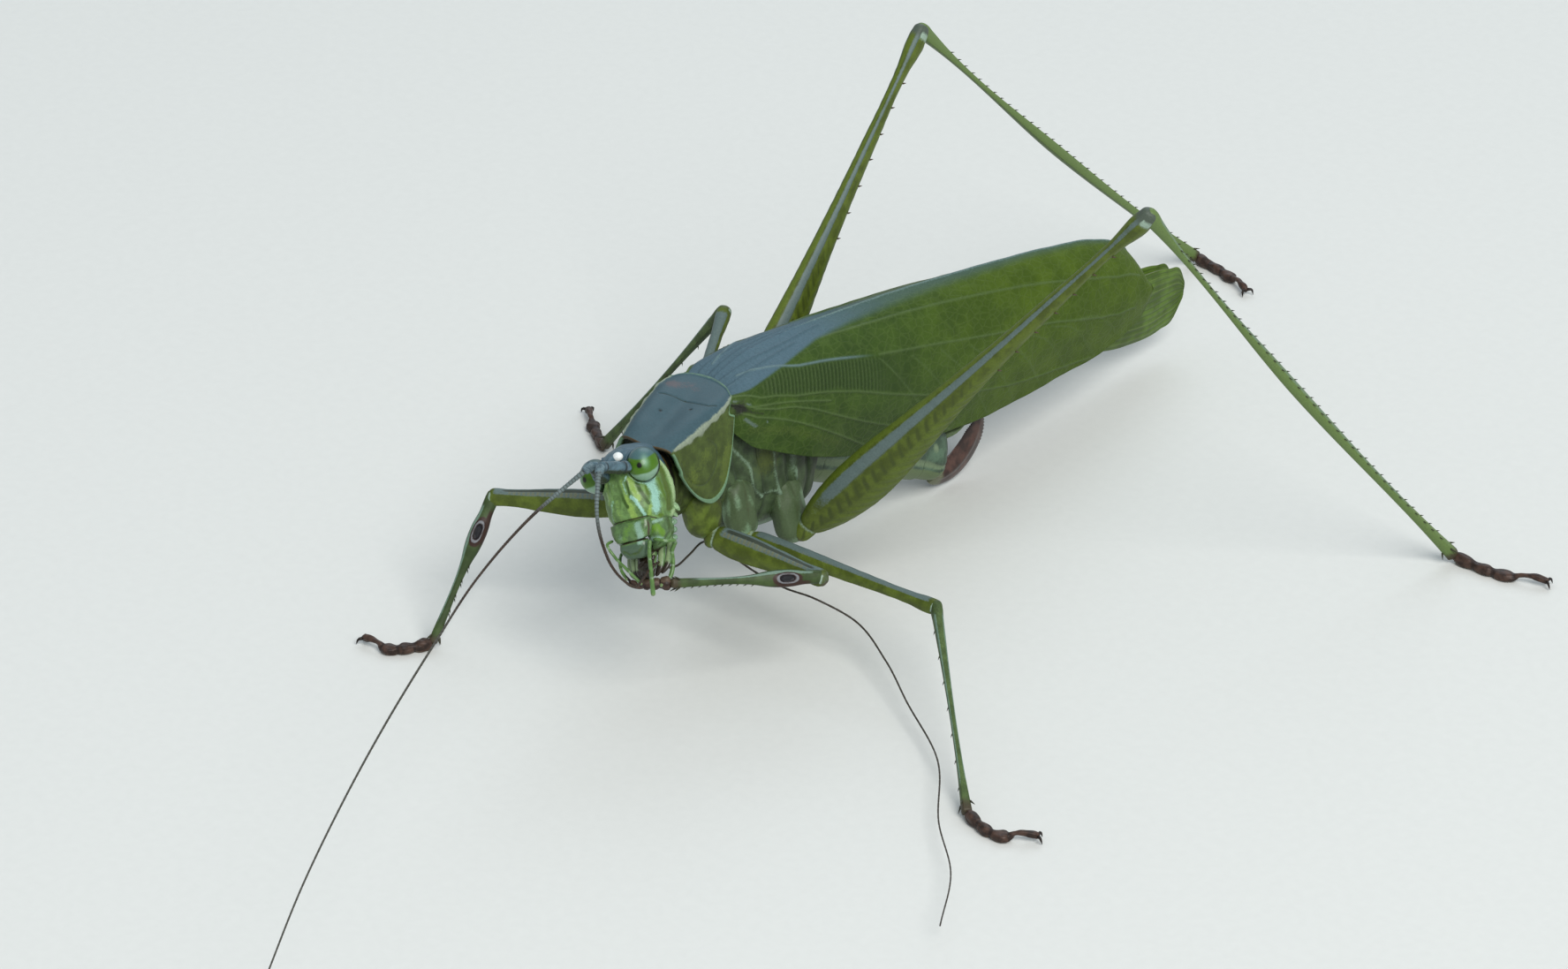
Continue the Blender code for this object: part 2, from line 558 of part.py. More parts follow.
def build():
    start_clean()
    paints = {
        "face": material("face green", (0.36, 0.50, 0.20), 0.38),
        "eye": material("eye green", (0.30, 0.46, 0.10), 0.12),
        "palp": material("palp green", (0.38, 0.55, 0.22), 0.40),
        "shade": material("glaucous back", (0.20, 0.27, 0.27), 0.55),
        "pleura": material("thorax green", (0.20, 0.28, 0.11), 0.45),
        "abdomen": material("abdomen green", (0.22, 0.30, 0.18), 0.50),
        "wing": material("fore wing green", (0.09, 0.19, 0.06), 0.42),
        "hindwing": material("hind wing green", (0.14, 0.28, 0.06), 0.42),
        "femur": material("femur green", (0.22, 0.28, 0.08), 0.42),
        "tibia": material("tibia green", (0.12, 0.18, 0.07), 0.45),
        "brown": material("foot brown", (0.12, 0.045, 0.03), 0.45),
        "feeler": material("antenna brown", (0.12, 0.10, 0.08), 0.50),
    }
    body = frame("body_axes", None, (0, 0, BACK_HEIGHT), BODY_TILT)
    prothorax = frame("prothorax_axes", body, turn=PROTHORAX_TURN, order="YXZ")
    head = frame("head_axes", None, HEAD_AT, HEAD_TURN, "YXZ")
    frames = {"body": body, "prothorax": prothorax, "head": head}
    build_head(head, paints)
    build_antennae(head, paints)
    prothorax_core, thorax = build_trunk(body, prothorax, head, paints)
    build_wings(body, paints)
    for pair in ("fore", "mid", "hind"):
        for side in ("left", "right"):
            clearance = build_leg(pair, side, frames, paints)
            carve(prothorax_core if pair == "fore" else thorax, clearance)
    centre_on_floor()


def centre_on_floor():
    """Moves everything so that the middle of the insect's plan is the origin."""
    for thing in bpy.data.objects:
        if thing.parent is None:
            thing.location -= Vector(MIDDLE) * MM
    bpy.context.view_layer.update()


build()
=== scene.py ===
"""A life-size still model of a bush katydid, a long horned grasshopper, as a museum shows one.

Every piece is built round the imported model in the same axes: the insect faces -Y, its left is +X
and the floor is at Z = 0. Lengths are in millimetres until a mesh is made.
"""

from math import pi, radians

import bmesh
import bpy
import numpy as np
from mathutils import Euler, Matrix, Vector


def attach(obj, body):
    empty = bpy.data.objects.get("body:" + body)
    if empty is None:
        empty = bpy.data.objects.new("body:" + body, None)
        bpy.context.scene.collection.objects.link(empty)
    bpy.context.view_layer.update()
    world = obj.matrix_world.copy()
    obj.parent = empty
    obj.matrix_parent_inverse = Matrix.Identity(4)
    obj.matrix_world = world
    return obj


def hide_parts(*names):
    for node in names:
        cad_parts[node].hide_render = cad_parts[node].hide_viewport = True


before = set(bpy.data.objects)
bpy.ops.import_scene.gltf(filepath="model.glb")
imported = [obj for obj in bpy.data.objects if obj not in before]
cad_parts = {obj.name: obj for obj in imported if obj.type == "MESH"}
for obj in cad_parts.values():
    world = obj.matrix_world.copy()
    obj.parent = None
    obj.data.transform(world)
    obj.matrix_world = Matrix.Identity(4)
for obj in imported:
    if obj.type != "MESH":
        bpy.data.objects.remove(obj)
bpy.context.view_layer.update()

# ---------------------------------------------------------------- stand, light and camera
# The model stands on a plain pale board with a fine matt grain. One broad soft window of light
# hangs high on its left, a cooler one behind it, and a pale sky fills the room.

MM = 0.001


class Wire:
    """A socket in a material, so that sums on it are written as sums."""

    def __init__(self, finish, socket):
        self.finish = finish
        self.socket = socket

    def sum(self, operation, first, second):
        return self.finish.node("ShaderNodeMath", {"operation": operation}, {0: first, 1: second})

    def __add__(self, other):
        return self.sum("ADD", self, other)

    def __radd__(self, other):
        return self.sum("ADD", other, self)

    def __sub__(self, other):
        return self.sum("SUBTRACT", self, other)

    def __rsub__(self, other):
        return self.sum("SUBTRACT", other, self)

    def __mul__(self, other):
        return self.sum("MULTIPLY", self, other)

    def __rmul__(self, other):
        return self.sum("MULTIPLY", other, self)

    def span(self, low, high):
        """0 below low and 1 above high, with a soft passage between them."""
        return self.finish.node(
            "ShaderNodeMapRange", {"interpolation_type": "SMOOTHSTEP"},
            {"Value": self, "From Min": low, "From Max": high})


class Finish:
    """A material: one Principled shader and the nodes that feed it."""

    def __init__(self, name, gloss=0.3, coat=0.0, coat_roughness=0.1):
        self.material = bpy.data.materials.new(name)
        self.material.use_nodes = True
        self.tree = self.material.node_tree
        self.shader = self.tree.nodes["Principled BSDF"]
        self.put("Specular IOR Level", gloss)
        self.put("Coat Weight", coat)
        self.put("Coat Roughness", coat_roughness)
        self.place = self.node("ShaderNodeTexCoord", {}, {}, "Object")

    def put(self, name, value):
        """Sets one of the shader's sockets, or links it."""
        self.join(self.shader.inputs[name], value)

    def join(self, socket, value):
        if isinstance(value, Wire):
            self.tree.links.new(value.socket, socket)
        else:
            socket.default_value = value

    def node(self, kind, settings, sockets, out=0):
        """One node: its settings first, then the values or links of its sockets."""
        made = self.tree.nodes.new(kind)
        for name, value in settings.items():
            setattr(made, name, value)
        for name, value in sockets.items():
            self.join(made.inputs[name], value)
        return Wire(self, made.outputs[out])

    def mark(self, name):
        return self.node("ShaderNodeAttribute", {"attribute_name": name}, {}, "Fac")

    def clouds(self, size, detail=2.0, stretch=(1, 1, 1)):
        """Soft noise whose lumps are about a size across, in millimetres."""
        place = self.node("ShaderNodeVectorMath", {"operation": "MULTIPLY"},
                          {0: self.place, 1: stretch})
        return self.node("ShaderNodeTexNoise", {},
                         {"Vector": place, "Scale": 1 / (size * MM), "Detail": detail}, "Fac")

    def cells(self, size, feature="F1", stretch=(1, 1, 1)):
        """A net of rounded cells about a size across, in millimetres."""
        place = self.node("ShaderNodeVectorMath", {"operation": "MULTIPLY"},
                          {0: self.place, 1: stretch})
        return self.node("ShaderNodeTexVoronoi", {"feature": feature},
                         {"Vector": place, "Scale": 1 / (size * MM)}, "Distance")

    def mix(self, share, under, over):
        """The under colour where share is 0, passing to the over colour where it is 1."""
        return self.node("ShaderNodeMix", {"data_type": "RGBA"},
                         {0: share, 6: opaque(under), 7: opaque(over)}, 2)

    def scale(self, colour, amount):
        return self.node("ShaderNodeVectorMath", {"operation": "SCALE"},
                         {0: colour, "Scale": amount})

    def relief(self, height, microns):
        """Raises the surface by height, from 0 to 1, times so many thousandths of a millimetre."""
        self.put("Normal", self.node(
            "ShaderNodeBump", {}, {"Height": height, "Distance": microns * MM * 0.001}))


def opaque(colour):
    return colour if isinstance(colour, Wire) else (*colour, 1)


PLASTER = (0.64, 0.65, 0.63)
FLOOR_HALF = 1.5
CAMERA_AT = (168.8, -177.2, 152.45)
CAMERA_AIM = (-0.85, 4.72, 8.05)
CAMERA_LENS = 147.2

board = Finish("plaster board", gloss=0.2)
grit = board.clouds(0.5, 4)
board.put("Base Color", board.scale(PLASTER, 0.97 + grit * 0.06))
board.put("Roughness", 0.85)
board.relief(grit, 12)
floor_mesh = bpy.data.meshes.new("floor")
floor_mesh.from_pydata(
    [(x * FLOOR_HALF, y * FLOOR_HALF, 0) for x, y in ((-1, -1), (1, -1), (1, 1), (-1, 1))],
    [], [(0, 1, 2, 3)])
floor_mesh.materials.append(board.material)
floor = bpy.data.objects.new("floor", floor_mesh)
bpy.context.scene.collection.objects.link(floor)


def turned(thing, at, aim):
    """Puts a lamp or camera at a point in metres, looking at another."""
    thing.location = at
    thing.rotation_euler = (Vector(aim) - Vector(at)).to_track_quat("-Z", "Y").to_euler()
    bpy.context.scene.collection.objects.link(thing)


for name, at, size, power, tint in (
        ("window", (0.52, -0.20, 0.60), 0.50, 6.3, (1.0, 0.985, 0.95)),
        ("sky_window", (-0.45, 0.70, 0.70), 0.8, 3.2, (0.80, 0.91, 1.0))):
    lamp = bpy.data.lights.new(name, "AREA")
    lamp.shape = "DISK"
    lamp.size = size
    lamp.energy = power
    lamp.color = tint
    turned(bpy.data.objects.new(name, lamp), at, (0, 0, 0))

room = bpy.data.worlds.new("room")
room.use_nodes = True
room.node_tree.nodes["Background"].inputs["Color"].default_value = (0.80, 0.87, 0.93, 1)
room.node_tree.nodes["Background"].inputs["Strength"].default_value = 0.54
bpy.context.scene.world = room
bpy.context.scene.view_settings.view_transform = "Standard"

camera = bpy.data.objects.new("camera", bpy.data.cameras.new("camera"))
camera.data.lens = CAMERA_LENS
camera.data.clip_start = 0.005
turned(camera, Vector(CAMERA_AT) * MM, Vector(CAMERA_AIM) * MM)
bpy.context.scene.camera = camera

# ---------------------------------------------------------------- thorax
# The box of the chest that carries the wings and the last four legs. It is a shell of chitin,
# pressed into upright plates with sunk seams between them, mottled grey-green.


def axes_at(place, angles, order="YXZ"):
    """Axes set at a place in millimetres and turned by the angles in degrees."""
    turn = Euler([radians(angle) for angle in angles], order)
    return Matrix.Translation(Vector(place) * MM) @ turn.to_matrix().to_4x4()


class Form:
    """The mesh of one piece, gathered grid by grid, with named marks kept at its points."""

    def __init__(self):
        self.points, self.faces, self.marks = [], [], []
        self.count = 0

    def skin(self, grid, around=True, ends=True, **marks):
        """Adds a grid of points as a skin, closed round its columns and over both its ends."""
        rows, columns = grid.shape[:2]
        if around and ends:
            grid = np.concatenate([
                np.repeat(grid[:1].mean(axis=1, keepdims=True), columns, axis=1), grid,
                np.repeat(grid[-1:].mean(axis=1, keepdims=True), columns, axis=1)])
            marks = {name: np.concatenate([value[:1], value, value[-1:]])
                     for name, value in spread(marks, (rows, columns)).items()}
            rows += 2
        index = self.count + np.arange(rows * columns).reshape(rows, columns)
        if around:
            index = np.concatenate([index, index[:, :1]], axis=1)
        corners = index[:-1, :-1], index[:-1, 1:], index[1:, 1:], index[1:, :-1]
        self.faces.append(np.stack(corners, axis=-1).reshape(-1, 4))
        self.points.append(grid.reshape(-1, 3))
        self.marks.append({name: value.ravel()
                           for name, value in spread(marks, (rows, columns)).items()})
        self.count += rows * columns

    def sheet(self, outer, inner, **marks):
        """Adds a leaf of some thickness: an outer and an inner grid joined round their edge."""
        ring = np.concatenate([outer, inner[:, ::-1]], axis=1)
        marks = {name: np.concatenate([value, value[:, ::-1]], axis=1)
                 for name, value in spread(marks, outer.shape[:2]).items()}
        half = outer.shape[1]
        for end in (0, -1):
            rim = np.concatenate([ring[end, :half], ring[end, half:][::-1]]).reshape(2, half, 3)
            self.skin(rim, around=False, ends=False, **{
                name: value[end, :half][None].repeat(2, axis=0) for name, value in marks.items()})
        self.skin(ring, ends=False, **marks)

    def build(self, name, finish, axes=None):
        """The finished object, in its own axes."""
        points = np.concatenate(self.points) * MM
        faces = np.concatenate(self.faces)
        mesh = bpy.data.meshes.new(name)
        mesh.vertices.add(len(points))
        mesh.vertices.foreach_set("co", points.astype(np.float32).ravel())
        mesh.loops.add(faces.size)
        mesh.loops.foreach_set("vertex_index", faces.astype(np.int32).ravel())
        mesh.polygons.add(len(faces))
        mesh.polygons.foreach_set("loop_start", np.arange(0, faces.size, 4, dtype=np.int32))
        mesh.update(calc_edges=True)
        mesh.validate()
        for mark in sorted({mark for marks in self.marks for mark in marks}):
            values = np.concatenate([marks.get(mark, np.zeros(len(block)))
                                     for marks, block in zip(self.marks, self.points)])
            layer = mesh.attributes.new(mark, "FLOAT", "POINT")
            layer.data.foreach_set("value", values.astype(np.float32))
        work = bmesh.new()
        work.from_mesh(mesh)
        bmesh.ops.remove_doubles(work, verts=work.verts, dist=1e-8)
        bmesh.ops.recalc_face_normals(work, faces=work.faces)
        work.to_mesh(mesh)
        work.free()
        mesh.shade_smooth()
        mesh.materials.append(finish.material)
        piece = bpy.data.objects.new(name, mesh)
        bpy.context.scene.collection.objects.link(piece)
        if axes is not None:
            piece.matrix_world = axes
        return piece


def spread(marks, shape):
    """The marks as arrays of that shape, from 0 to 1, whether given as arrays or single values."""
    return {name: np.broadcast_to(np.clip(value, 0, 1), shape) for name, value in marks.items()}


def seat(piece, slot, *nodes):
    """Fixes a piece to the insect, and puts it in the place of the CAD nodes it stands for."""
    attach(piece, "root")
    if nodes:
        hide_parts(*nodes)
    return piece


def smooth(rows, at):
    """Smooth curves through rows of (place, value, value ...), read at the given places."""
    rows = np.array(rows, float)
    if rows[0, 0] > rows[-1, 0]:
        rows = rows[::-1]
    place, values = rows[:, 0], rows[:, 1:]
    slope = np.gradient(values, place, axis=0)
    at = np.clip(at, place[0], place[-1])
    k = np.clip(np.searchsorted(place, at, side="right") - 1, 0, len(place) - 2)
    gap = (place[k + 1] - place[k])[:, None]
    t = (at - place[k])[:, None] / gap
    return ((2 * t**3 - 3 * t**2 + 1) * values[k] + (t**3 - 2 * t**2 + t) * gap * slope[k]
            + (3 * t**2 - 2 * t**3) * values[k + 1] + (t**3 - t**2) * gap * slope[k + 1])


def step(value, low, high):
    """0 where the value is below low, 1 where it is above high, and soft between."""
    t = np.clip((np.asarray(value, float) - low) / (high - low), 0, 1)
    return t * t * (3 - 2 * t)


def bell(value, middle, width):
    """1 where the value is at the middle, falling softly to nothing two widths away."""
    return np.exp(-((value - middle) / width) ** 2)


def superoval(turn, power):
    """Points round a squarish oval: across and up, from -1 to 1."""
    across, up = np.cos(turn), np.sin(turn)
    return (np.sign(across) * np.abs(across) ** (2 / power),
            np.sign(up) * np.abs(up) ** (2 / power))


def grid_of(*places):
    """A grid of points from their places along each axis, given whole or by row or column."""
    return np.stack(np.broadcast_arrays(*places), axis=-1)


def between(high, low, tall):
    """Places in each section, from its low edge, where tall is -1, to its high one, at 1."""
    return ((high + low) / 2)[:, None] + ((high - low) / 2)[:, None] * tall


def loft(rows, at, columns, power, full=1.0):
    """Sections of (place, half width, high, low ...) round a squarish oval, read at the places:
    how far out and up each point is, how tall it stands in its section, and what is left over."""
    half, high, low, *more = smooth(rows, at).T
    wide, tall = superoval(2 * pi * (np.arange(columns) + 0.5) / columns, power)
    return half[:, None] * wide * full, between(high, low, tall * full), tall, more


def round_ends(count, reach=0.12):
    """How full each of a row of sections is, so that a body closes in a dome at both ends."""
    s = np.linspace(0, 1, count)
    end = np.clip(np.minimum(s, 1 - s) / reach, 0, 1)
    return np.sqrt(np.clip(1 - (1 - end) ** 2, 0.0004, 1))


def trunk(rows, count, columns, power, taper, reach=0.06):
    """A stretch of the body through rows of (along, half width, top, bottom)."""
    at = np.linspace(rows[0][0], rows[-1][0], count)
    across, up, tall, _ = loft(rows, at, columns, power, round_ends(count, reach)[:, None])
    return grid_of(across * (1 - taper * tall), at[:, None], up)


def outward(grid, around=True):
    """The direction straight out of the surface at each point of a grid."""
    if around:
        wide = np.concatenate([grid[:, -1:], grid, grid[:, :1]], axis=1)
        across = wide[:, 2:] - wide[:, :-2]
    else:
        across = np.gradient(grid, axis=1)
    out = np.cross(np.gradient(grid, axis=0), across)
    out /= np.linalg.norm(out, axis=-1, keepdims=True) + 1e-9
    middle = grid.mean(axis=1, keepdims=True)
    return out if ((grid - middle) * out).sum() > 0 else -out


def push(grid, height, around=True):
    """The grid with each point raised by its height in millimetres."""
    return grid + outward(grid, around) * np.asarray(height)[..., None]


def near(points, path, width):
    """1 on a line through the given corners, or on a single one, falling softly beside it."""
    path = np.array(path if len(path) > 1 else (*path, *path), float)
    best = np.full(points.shape[:-1], 1e9)
    for start, end in zip(path[:-1], path[1:]):
        run = end - start
        t = np.clip(((points - start) @ run) / max(run @ run, 1e-9), 0, 1)
        best = np.minimum(best, np.linalg.norm(points - start - t[..., None] * run, axis=-1))
    return bell(best, 0, width)


def lengths(line):
    """How far along a line each of its points is."""
    return np.concatenate([[0], np.cumsum(np.linalg.norm(np.diff(line, axis=0), axis=1))])


def route(points, count):
    """A smooth line through the points, at evenly spaced places."""
    points = np.array(points, float)
    chord = lengths(points)
    line = smooth(np.column_stack([chord, points]), np.linspace(0, chord[-1], 24 * len(points)))
    run = lengths(line)
    even = np.linspace(0, run[-1], count)
    return np.column_stack([np.interp(even, run, place) for place in line.T])


def strokes(points, *lines):
    """Soft lines and spots laid together, each a strength, a width and its corners."""
    return np.clip(sum(strength * near(points, corners, width)
                       for strength, width, *corners in lines), 0, 1)


def waves(points, size, seed):
    """Slow irregular waves over the points, from about -1 to 1, each some size long."""
    chance = np.random.default_rng(seed)
    total = 0
    for _ in range(7):
        bend = chance.normal(size=points.shape[-1])
        total = total + np.sin(points @ bend * (pi / size) + chance.uniform(0, 2 * pi))
    return total / 3


def cuticle(name, base, shades=(), roughness=0.48, gloss=0.28, cloud=0.7, grain=0.09,
            contrast=0.3, microns=7, coat=0.0):
    """Insect skin: clouded colour, shades laid on marked places, and a fine raised grain."""
    skin = Finish(name, gloss, coat)
    broad = skin.clouds(cloud, 3)
    fine = skin.clouds(grain, 2)
    colour = skin.mix(broad.span(0.35, 0.68), [part * (1 - contrast) for part in base],
                      [part * (1 + contrast) for part in base])
    for mark, shade, ragged in shades:
        share = skin.mark(mark)
        if ragged:
            share = (share + (fine - 0.5) * ragged + (broad - 0.5) * ragged).span(0.2, 0.85)
        colour = skin.mix(share, colour, shade)
    skin.put("Base Color", skin.scale(colour, 0.75 + fine * 0.5))
    skin.put("Roughness", roughness - 0.1 + fine * 0.2)
    skin.relief(fine, microns)
    return skin


BODY = axes_at((-5.0, 4.1, 12.1), (-5.4, 3.5, 0), "XYZ")
THORAX_ROWS = (
    # along, half width, top, bottom
    (-0.35, 1.45, -1.10, -6.50), (0.80, 1.74, -0.90, -7.70), (2.80, 1.94, -0.60, -8.30),
    (5.00, 1.98, -0.60, -8.35), (6.50, 1.85, -1.10, -7.80))
THORAX_SEAMS = (  # along and height of the sunk lines between the side plates
    ((0.30, -1.6), (0.45, -3.2), (0.95, -5.2), (1.10, -6.8)),
    ((1.75, -1.6), (2.05, -3.6), (2.55, -5.4), (2.70, -7.5)),
    ((3.55, -1.8), (3.80, -4.0), (4.15, -5.6), (4.30, -7.2)),
    ((5.15, -2.0), (5.30, -4.4), (5.60, -6.4), (5.60, -7.6)))
THORAX_RIBS = (  # pale raised lines: the wing props and the rims over the leg sockets
    ((0.38, -2.90), (1.00, -3.55), (1.48, -4.10), (1.79, -5.26), (2.34, -5.81)),
    ((2.34, -5.81), (3.00, -5.75), (3.57, -6.03), (4.19, -6.97)),
    ((2.90, -3.4), (3.15, -4.9), (3.57, -6.03)), ((4.55, -5.2), (4.75, -6.4), (4.83, -7.5)))
thorax_green = cuticle(
    "thorax green", (0.042, 0.068, 0.029),
    (("shade", (0.024, 0.036, 0.022), 0.5), ("olive", (0.060, 0.082, 0.018), 0.7),
     ("pale", (0.150, 0.225, 0.150), 0.7), ("blue", (0.15, 0.21, 0.22), 0.5)),
    cloud=0.6, contrast=0.35, microns=9)
thorax = trunk(THORAX_ROWS, count=190, columns=240, power=2.5, taper=0.18)
side = thorax[..., 1:]
seams = sum(near(side, route(seam, 20), 0.13) for seam in THORAX_SEAMS)
ribs = sum(near(side, route(rib, 20), 0.10) for rib in THORAX_RIBS)
thorax = push(thorax, 0.08 * ribs - 0.11 * seams + 0.05 * waves(side, 1.6, seed=4))
form = Form()
form.skin(
    thorax, shade=seams * 0.55 + step(side[..., 0], 5.3, 6.4) * 0.6,
    olive=strokes(side, (0.8, 0.8, (2.4, -1.8), (2.6, -4.2)), (0.5, 0.8, (0.3, -5.6))),
    pale=ribs * 0.62 + strokes(
        side, (0.8, 0.45, (4.2, -7.6), (3.0, -7.9)), (0.4, 0.6, (1.6, -7.2)),
        (0.45, 0.35, (4.1, -3.6), (4.4, -5.0))),
    blue=strokes(side, (1, 0.5, (-0.2, -1.5)), (1, 0.35, (0.9, -1.9))))
seat(form.build("thorax_shell", thorax_green, BODY), "thorax_green", "thorax")

# ---------------------------------------------------------------- abdomen
# The soft hind body: nine rings of thin skin, each a back plate lapping over the next, with a
# paler pleat along each side and belly plates below. It ends in a pair of short feelers.

ABDOMEN_ROWS = (
    # along, half width, top, bottom, shift
    (6.30, 1.70, -1.60, -7.10, 0.00), (6.85, 1.80, -1.80, -7.30, 0.00),
    (9.50, 1.95, -2.30, -8.20, 0.00), (12.50, 1.80, -3.40, -9.00, 0.10),
    (14.40, 1.45, -5.20, -9.50, 0.40), (15.70, 1.05, -6.60, -9.70, 0.80),
    (16.45, 0.45, -7.60, -9.40, 0.95))
RING_LENGTH = 1.22
FIRST_RING = 6.85
TAIL_DOME = 15.6        # where the last ring starts to close, and how long its dome is
DOME_LENGTH = 0.87
abdomen_green = cuticle(
    "abdomen green", (0.066, 0.112, 0.072),
    (("belly", (0.12, 0.17, 0.075), 0.3), ("pleat", (0.15, 0.21, 0.12), 0.5),
     ("shade", (0.018, 0.028, 0.015), 0.3), ("dot", (0.16, 0.22, 0.13), 0.4)),
    cloud=0.8, contrast=0.35, roughness=0.45)
at = np.linspace(ABDOMEN_ROWS[0][0], ABDOMEN_ROWS[-1][0], 300)
full = np.sqrt(np.clip(1 - ((at - TAIL_DOME).clip(0) / DOME_LENGTH) ** 2, 0.001, 1))[:, None]
across, up, tall, (shift,) = loft(ABDOMEN_ROWS, at, 160, 2.2, full)
abdomen = grid_of(shift[:, None] + across, at[:, None] + 0.25 * (tall < 0) * -tall, up)
phase = (at[:, None] - FIRST_RING) / RING_LENGTH % 1
lap = step(phase, 0.0, 0.12) * (0.4 + 0.6 * phase)
pleat = bell(tall, -0.42, 0.10)
form = Form()
form.skin(
    push(abdomen, 0.09 * lap - 0.07 * pleat), belly=step(-tall, 0.5, 0.65), pleat=pleat,
    shade=bell(phase, 0, 0.07) * 0.9, dot=bell(phase, 0.5, 0.16) * bell(tall, 0.1, 0.12))


def tube(path, width, height, up, sides=20, power=2.0):
    """Rings along a path, so wide across and so high along up; the first column is the top."""
    path = np.asarray(path, float)
    along = np.gradient(path, axis=0)
    along /= np.linalg.norm(along, axis=1, keepdims=True)
    up = np.broadcast_to(np.asarray(up, float), path.shape)
    up = up - (up * along).sum(axis=1, keepdims=True) * along
    up = up / np.linalg.norm(up, axis=1, keepdims=True)
    out = np.cross(along, up)
    high, wide = superoval(2 * pi * np.arange(sides) / sides, power)
    width = np.broadcast_to(np.asarray(width, float), len(path))[:, None, None] / 2
    height = np.broadcast_to(np.asarray(height, float), len(path))[:, None, None] / 2
    return (path[:, None] + out[:, None] * wide[None, :, None] * width
            + up[:, None] * high[None, :, None] * height)


def rod(form, points, count, width, height, up, sides, reach, power=2.0, **marks):
    """A rod with round ends along a smooth line through the points."""
    full = round_ends(count, reach)
    form.skin(tube(route(points, count), width * full, height * full, up, sides, power), **marks)


def cone(form, base, tip, width, bow=(0, 0, 0), sides=8, **marks):
    """A spine, claw or feeler from its base to its tip, bowed out to one side."""
    base, tip = np.array(base, float), np.array(tip, float)
    path = route((base, (base + tip) / 2 + np.array(bow, float), tip), 7)
    size = width * np.array([1, 0.93, 0.83, 0.68, 0.5, 0.3, 0.06])
    leaning = abs((tip - base)[2]) < 0.8 * np.linalg.norm(tip - base)
    form.skin(tube(path, size, size, (0.31, 0.52, 0.8) if leaning else (1, 0, 0), sides), **marks)


for sign in (1, -1):
    cone(form, (0.95 + 0.4 * sign, 15.9, -7.4), (0.95 + 0.75 * sign, 17.1, -6.9), 0.34,
         (0.12 * sign, 0, 0), belly=0.7)
seat(form.build("abdomen_rings", abdomen_green, BODY), "abdomen_green", "abdomen")

# ---------------------------------------------------------------- ovipositor
# The egg-layer: two thin hard blades shut together in a short sickle, glossy red-brown, with a
# thick root, a raised rib and fine saw teeth round the tip.

BLADE_ROWS = (
    # middle of the blade, breadth, thickness
    (1.00, 15.90, -9.55, 0.90, 0.60), (1.00, 16.20, -9.70, 1.05, 0.56),
    (1.05, 17.05, -9.62, 1.45, 0.46), (1.05, 18.00, -9.10, 1.66, 0.38),
    (1.00, 18.75, -8.20, 1.30, 0.30), (0.95, 19.15, -7.10, 0.10, 0.10))
BLADE_TEETH = 34        # as many as would fill the whole edge; only those near the tip are cut
horn_brown = cuticle(
    "horn brown", (0.052, 0.024, 0.018),
    (("root", (0.12, 0.13, 0.07), 0.4), ("edge", (0.018, 0.009, 0.008), 0.4)),
    cloud=0.5, grain=0.05, contrast=0.5, roughness=0.32, gloss=0.45, microns=4)
count, sides = 150, 48
rows = np.array(BLADE_ROWS)
line = route(rows[:, :3], count)
chord = lengths(rows[:, :3])
share = np.linspace(0, 1, count)
breadth, thickness = smooth(np.column_stack([chord / chord[-1], rows[:, 3:]]), share).T
share = share[:, None]
turn = 2 * pi * np.arange(sides) / sides
rim = np.abs(np.sin(turn)) ** 6
teeth = np.abs(share * BLADE_TEETH % 1 - 0.5) * 2 * rim * step(share, 0.62, 0.72)
rib = bell(np.abs(np.cos(turn)), 1, 0.06) * step(-share, -0.85, -0.6)
form = Form()
form.skin(push(tube(line, breadth, thickness, (1, 0, 0), sides, 1.5), 0.05 * teeth + 0.05 * rib),
          root=step(-share, -0.20, -0.04), edge=rim * step(share, 0.3, 0.6))
seat(form.build("ovipositor_blade", horn_brown, BODY), "horn_brown", "ovipositor")

# ---------------------------------------------------------------- pronotum
# The saddle over the fore chest: one plate of chitin with a flat smooth back, painted blue-grey
# for the sky's reflection, a beaded cream crest along each edge of it, and a deep round olive lobe
# down each side with a mint rim.

PROTHORAX = BODY @ axes_at((0, 0, 0), (8.3, 0, 15))
PRONOTUM_ROWS = (
    # along, middle height, crest out and height, side out and height, foot out and height, lag
    (-5.80, -0.02, 1.23, -0.22, 1.52, -0.85, 1.66, -1.40, 0.50),
    (-5.40, 0.00, 1.28, -0.19, 1.65, -1.20, 1.86, -2.20, 0.46),
    (-5.00, 0.02, 1.33, -0.16, 1.76, -1.48, 2.03, -2.78, 0.40),
    (-4.50, 0.04, 1.40, -0.14, 1.87, -1.66, 2.20, -3.28, 0.30),
    (-4.00, 0.05, 1.46, -0.12, 1.95, -1.75, 2.32, -3.60, 0.20),
    (-3.00, 0.05, 1.56, -0.09, 2.07, -1.80, 2.42, -3.72, 0.00),
    (-2.20, 0.04, 1.62, -0.07, 2.10, -1.65, 2.38, -3.25, -0.10),
    (-1.50, 0.04, 1.65, -0.05, 2.06, -1.25, 2.28, -2.35, -0.30),
    (-0.70, 0.03, 1.63, -0.04, 1.98, -0.75, 2.08, -1.30, -0.58),
    (0.22, 0.00, 1.50, -0.06, 1.84, -0.45, 1.92, -0.75, -1.18))
CREST = 0.36            # where the crest lies between the middle of the back, 0, and the foot, 1
PLATE = 0.16
SULCUS = ((-1.22, -2.27), (-0.42, -2.05), (0.46, -2.00), (1.16, -2.01), (1.43, -1.69))
LOBE_GROOVE = ((-5.05, -0.9), (-4.95, -1.64), (-4.40, -2.36), (-3.60, -2.60), (-2.94, -2.19),
               (-2.60, -1.40), (-3.00, -0.75))
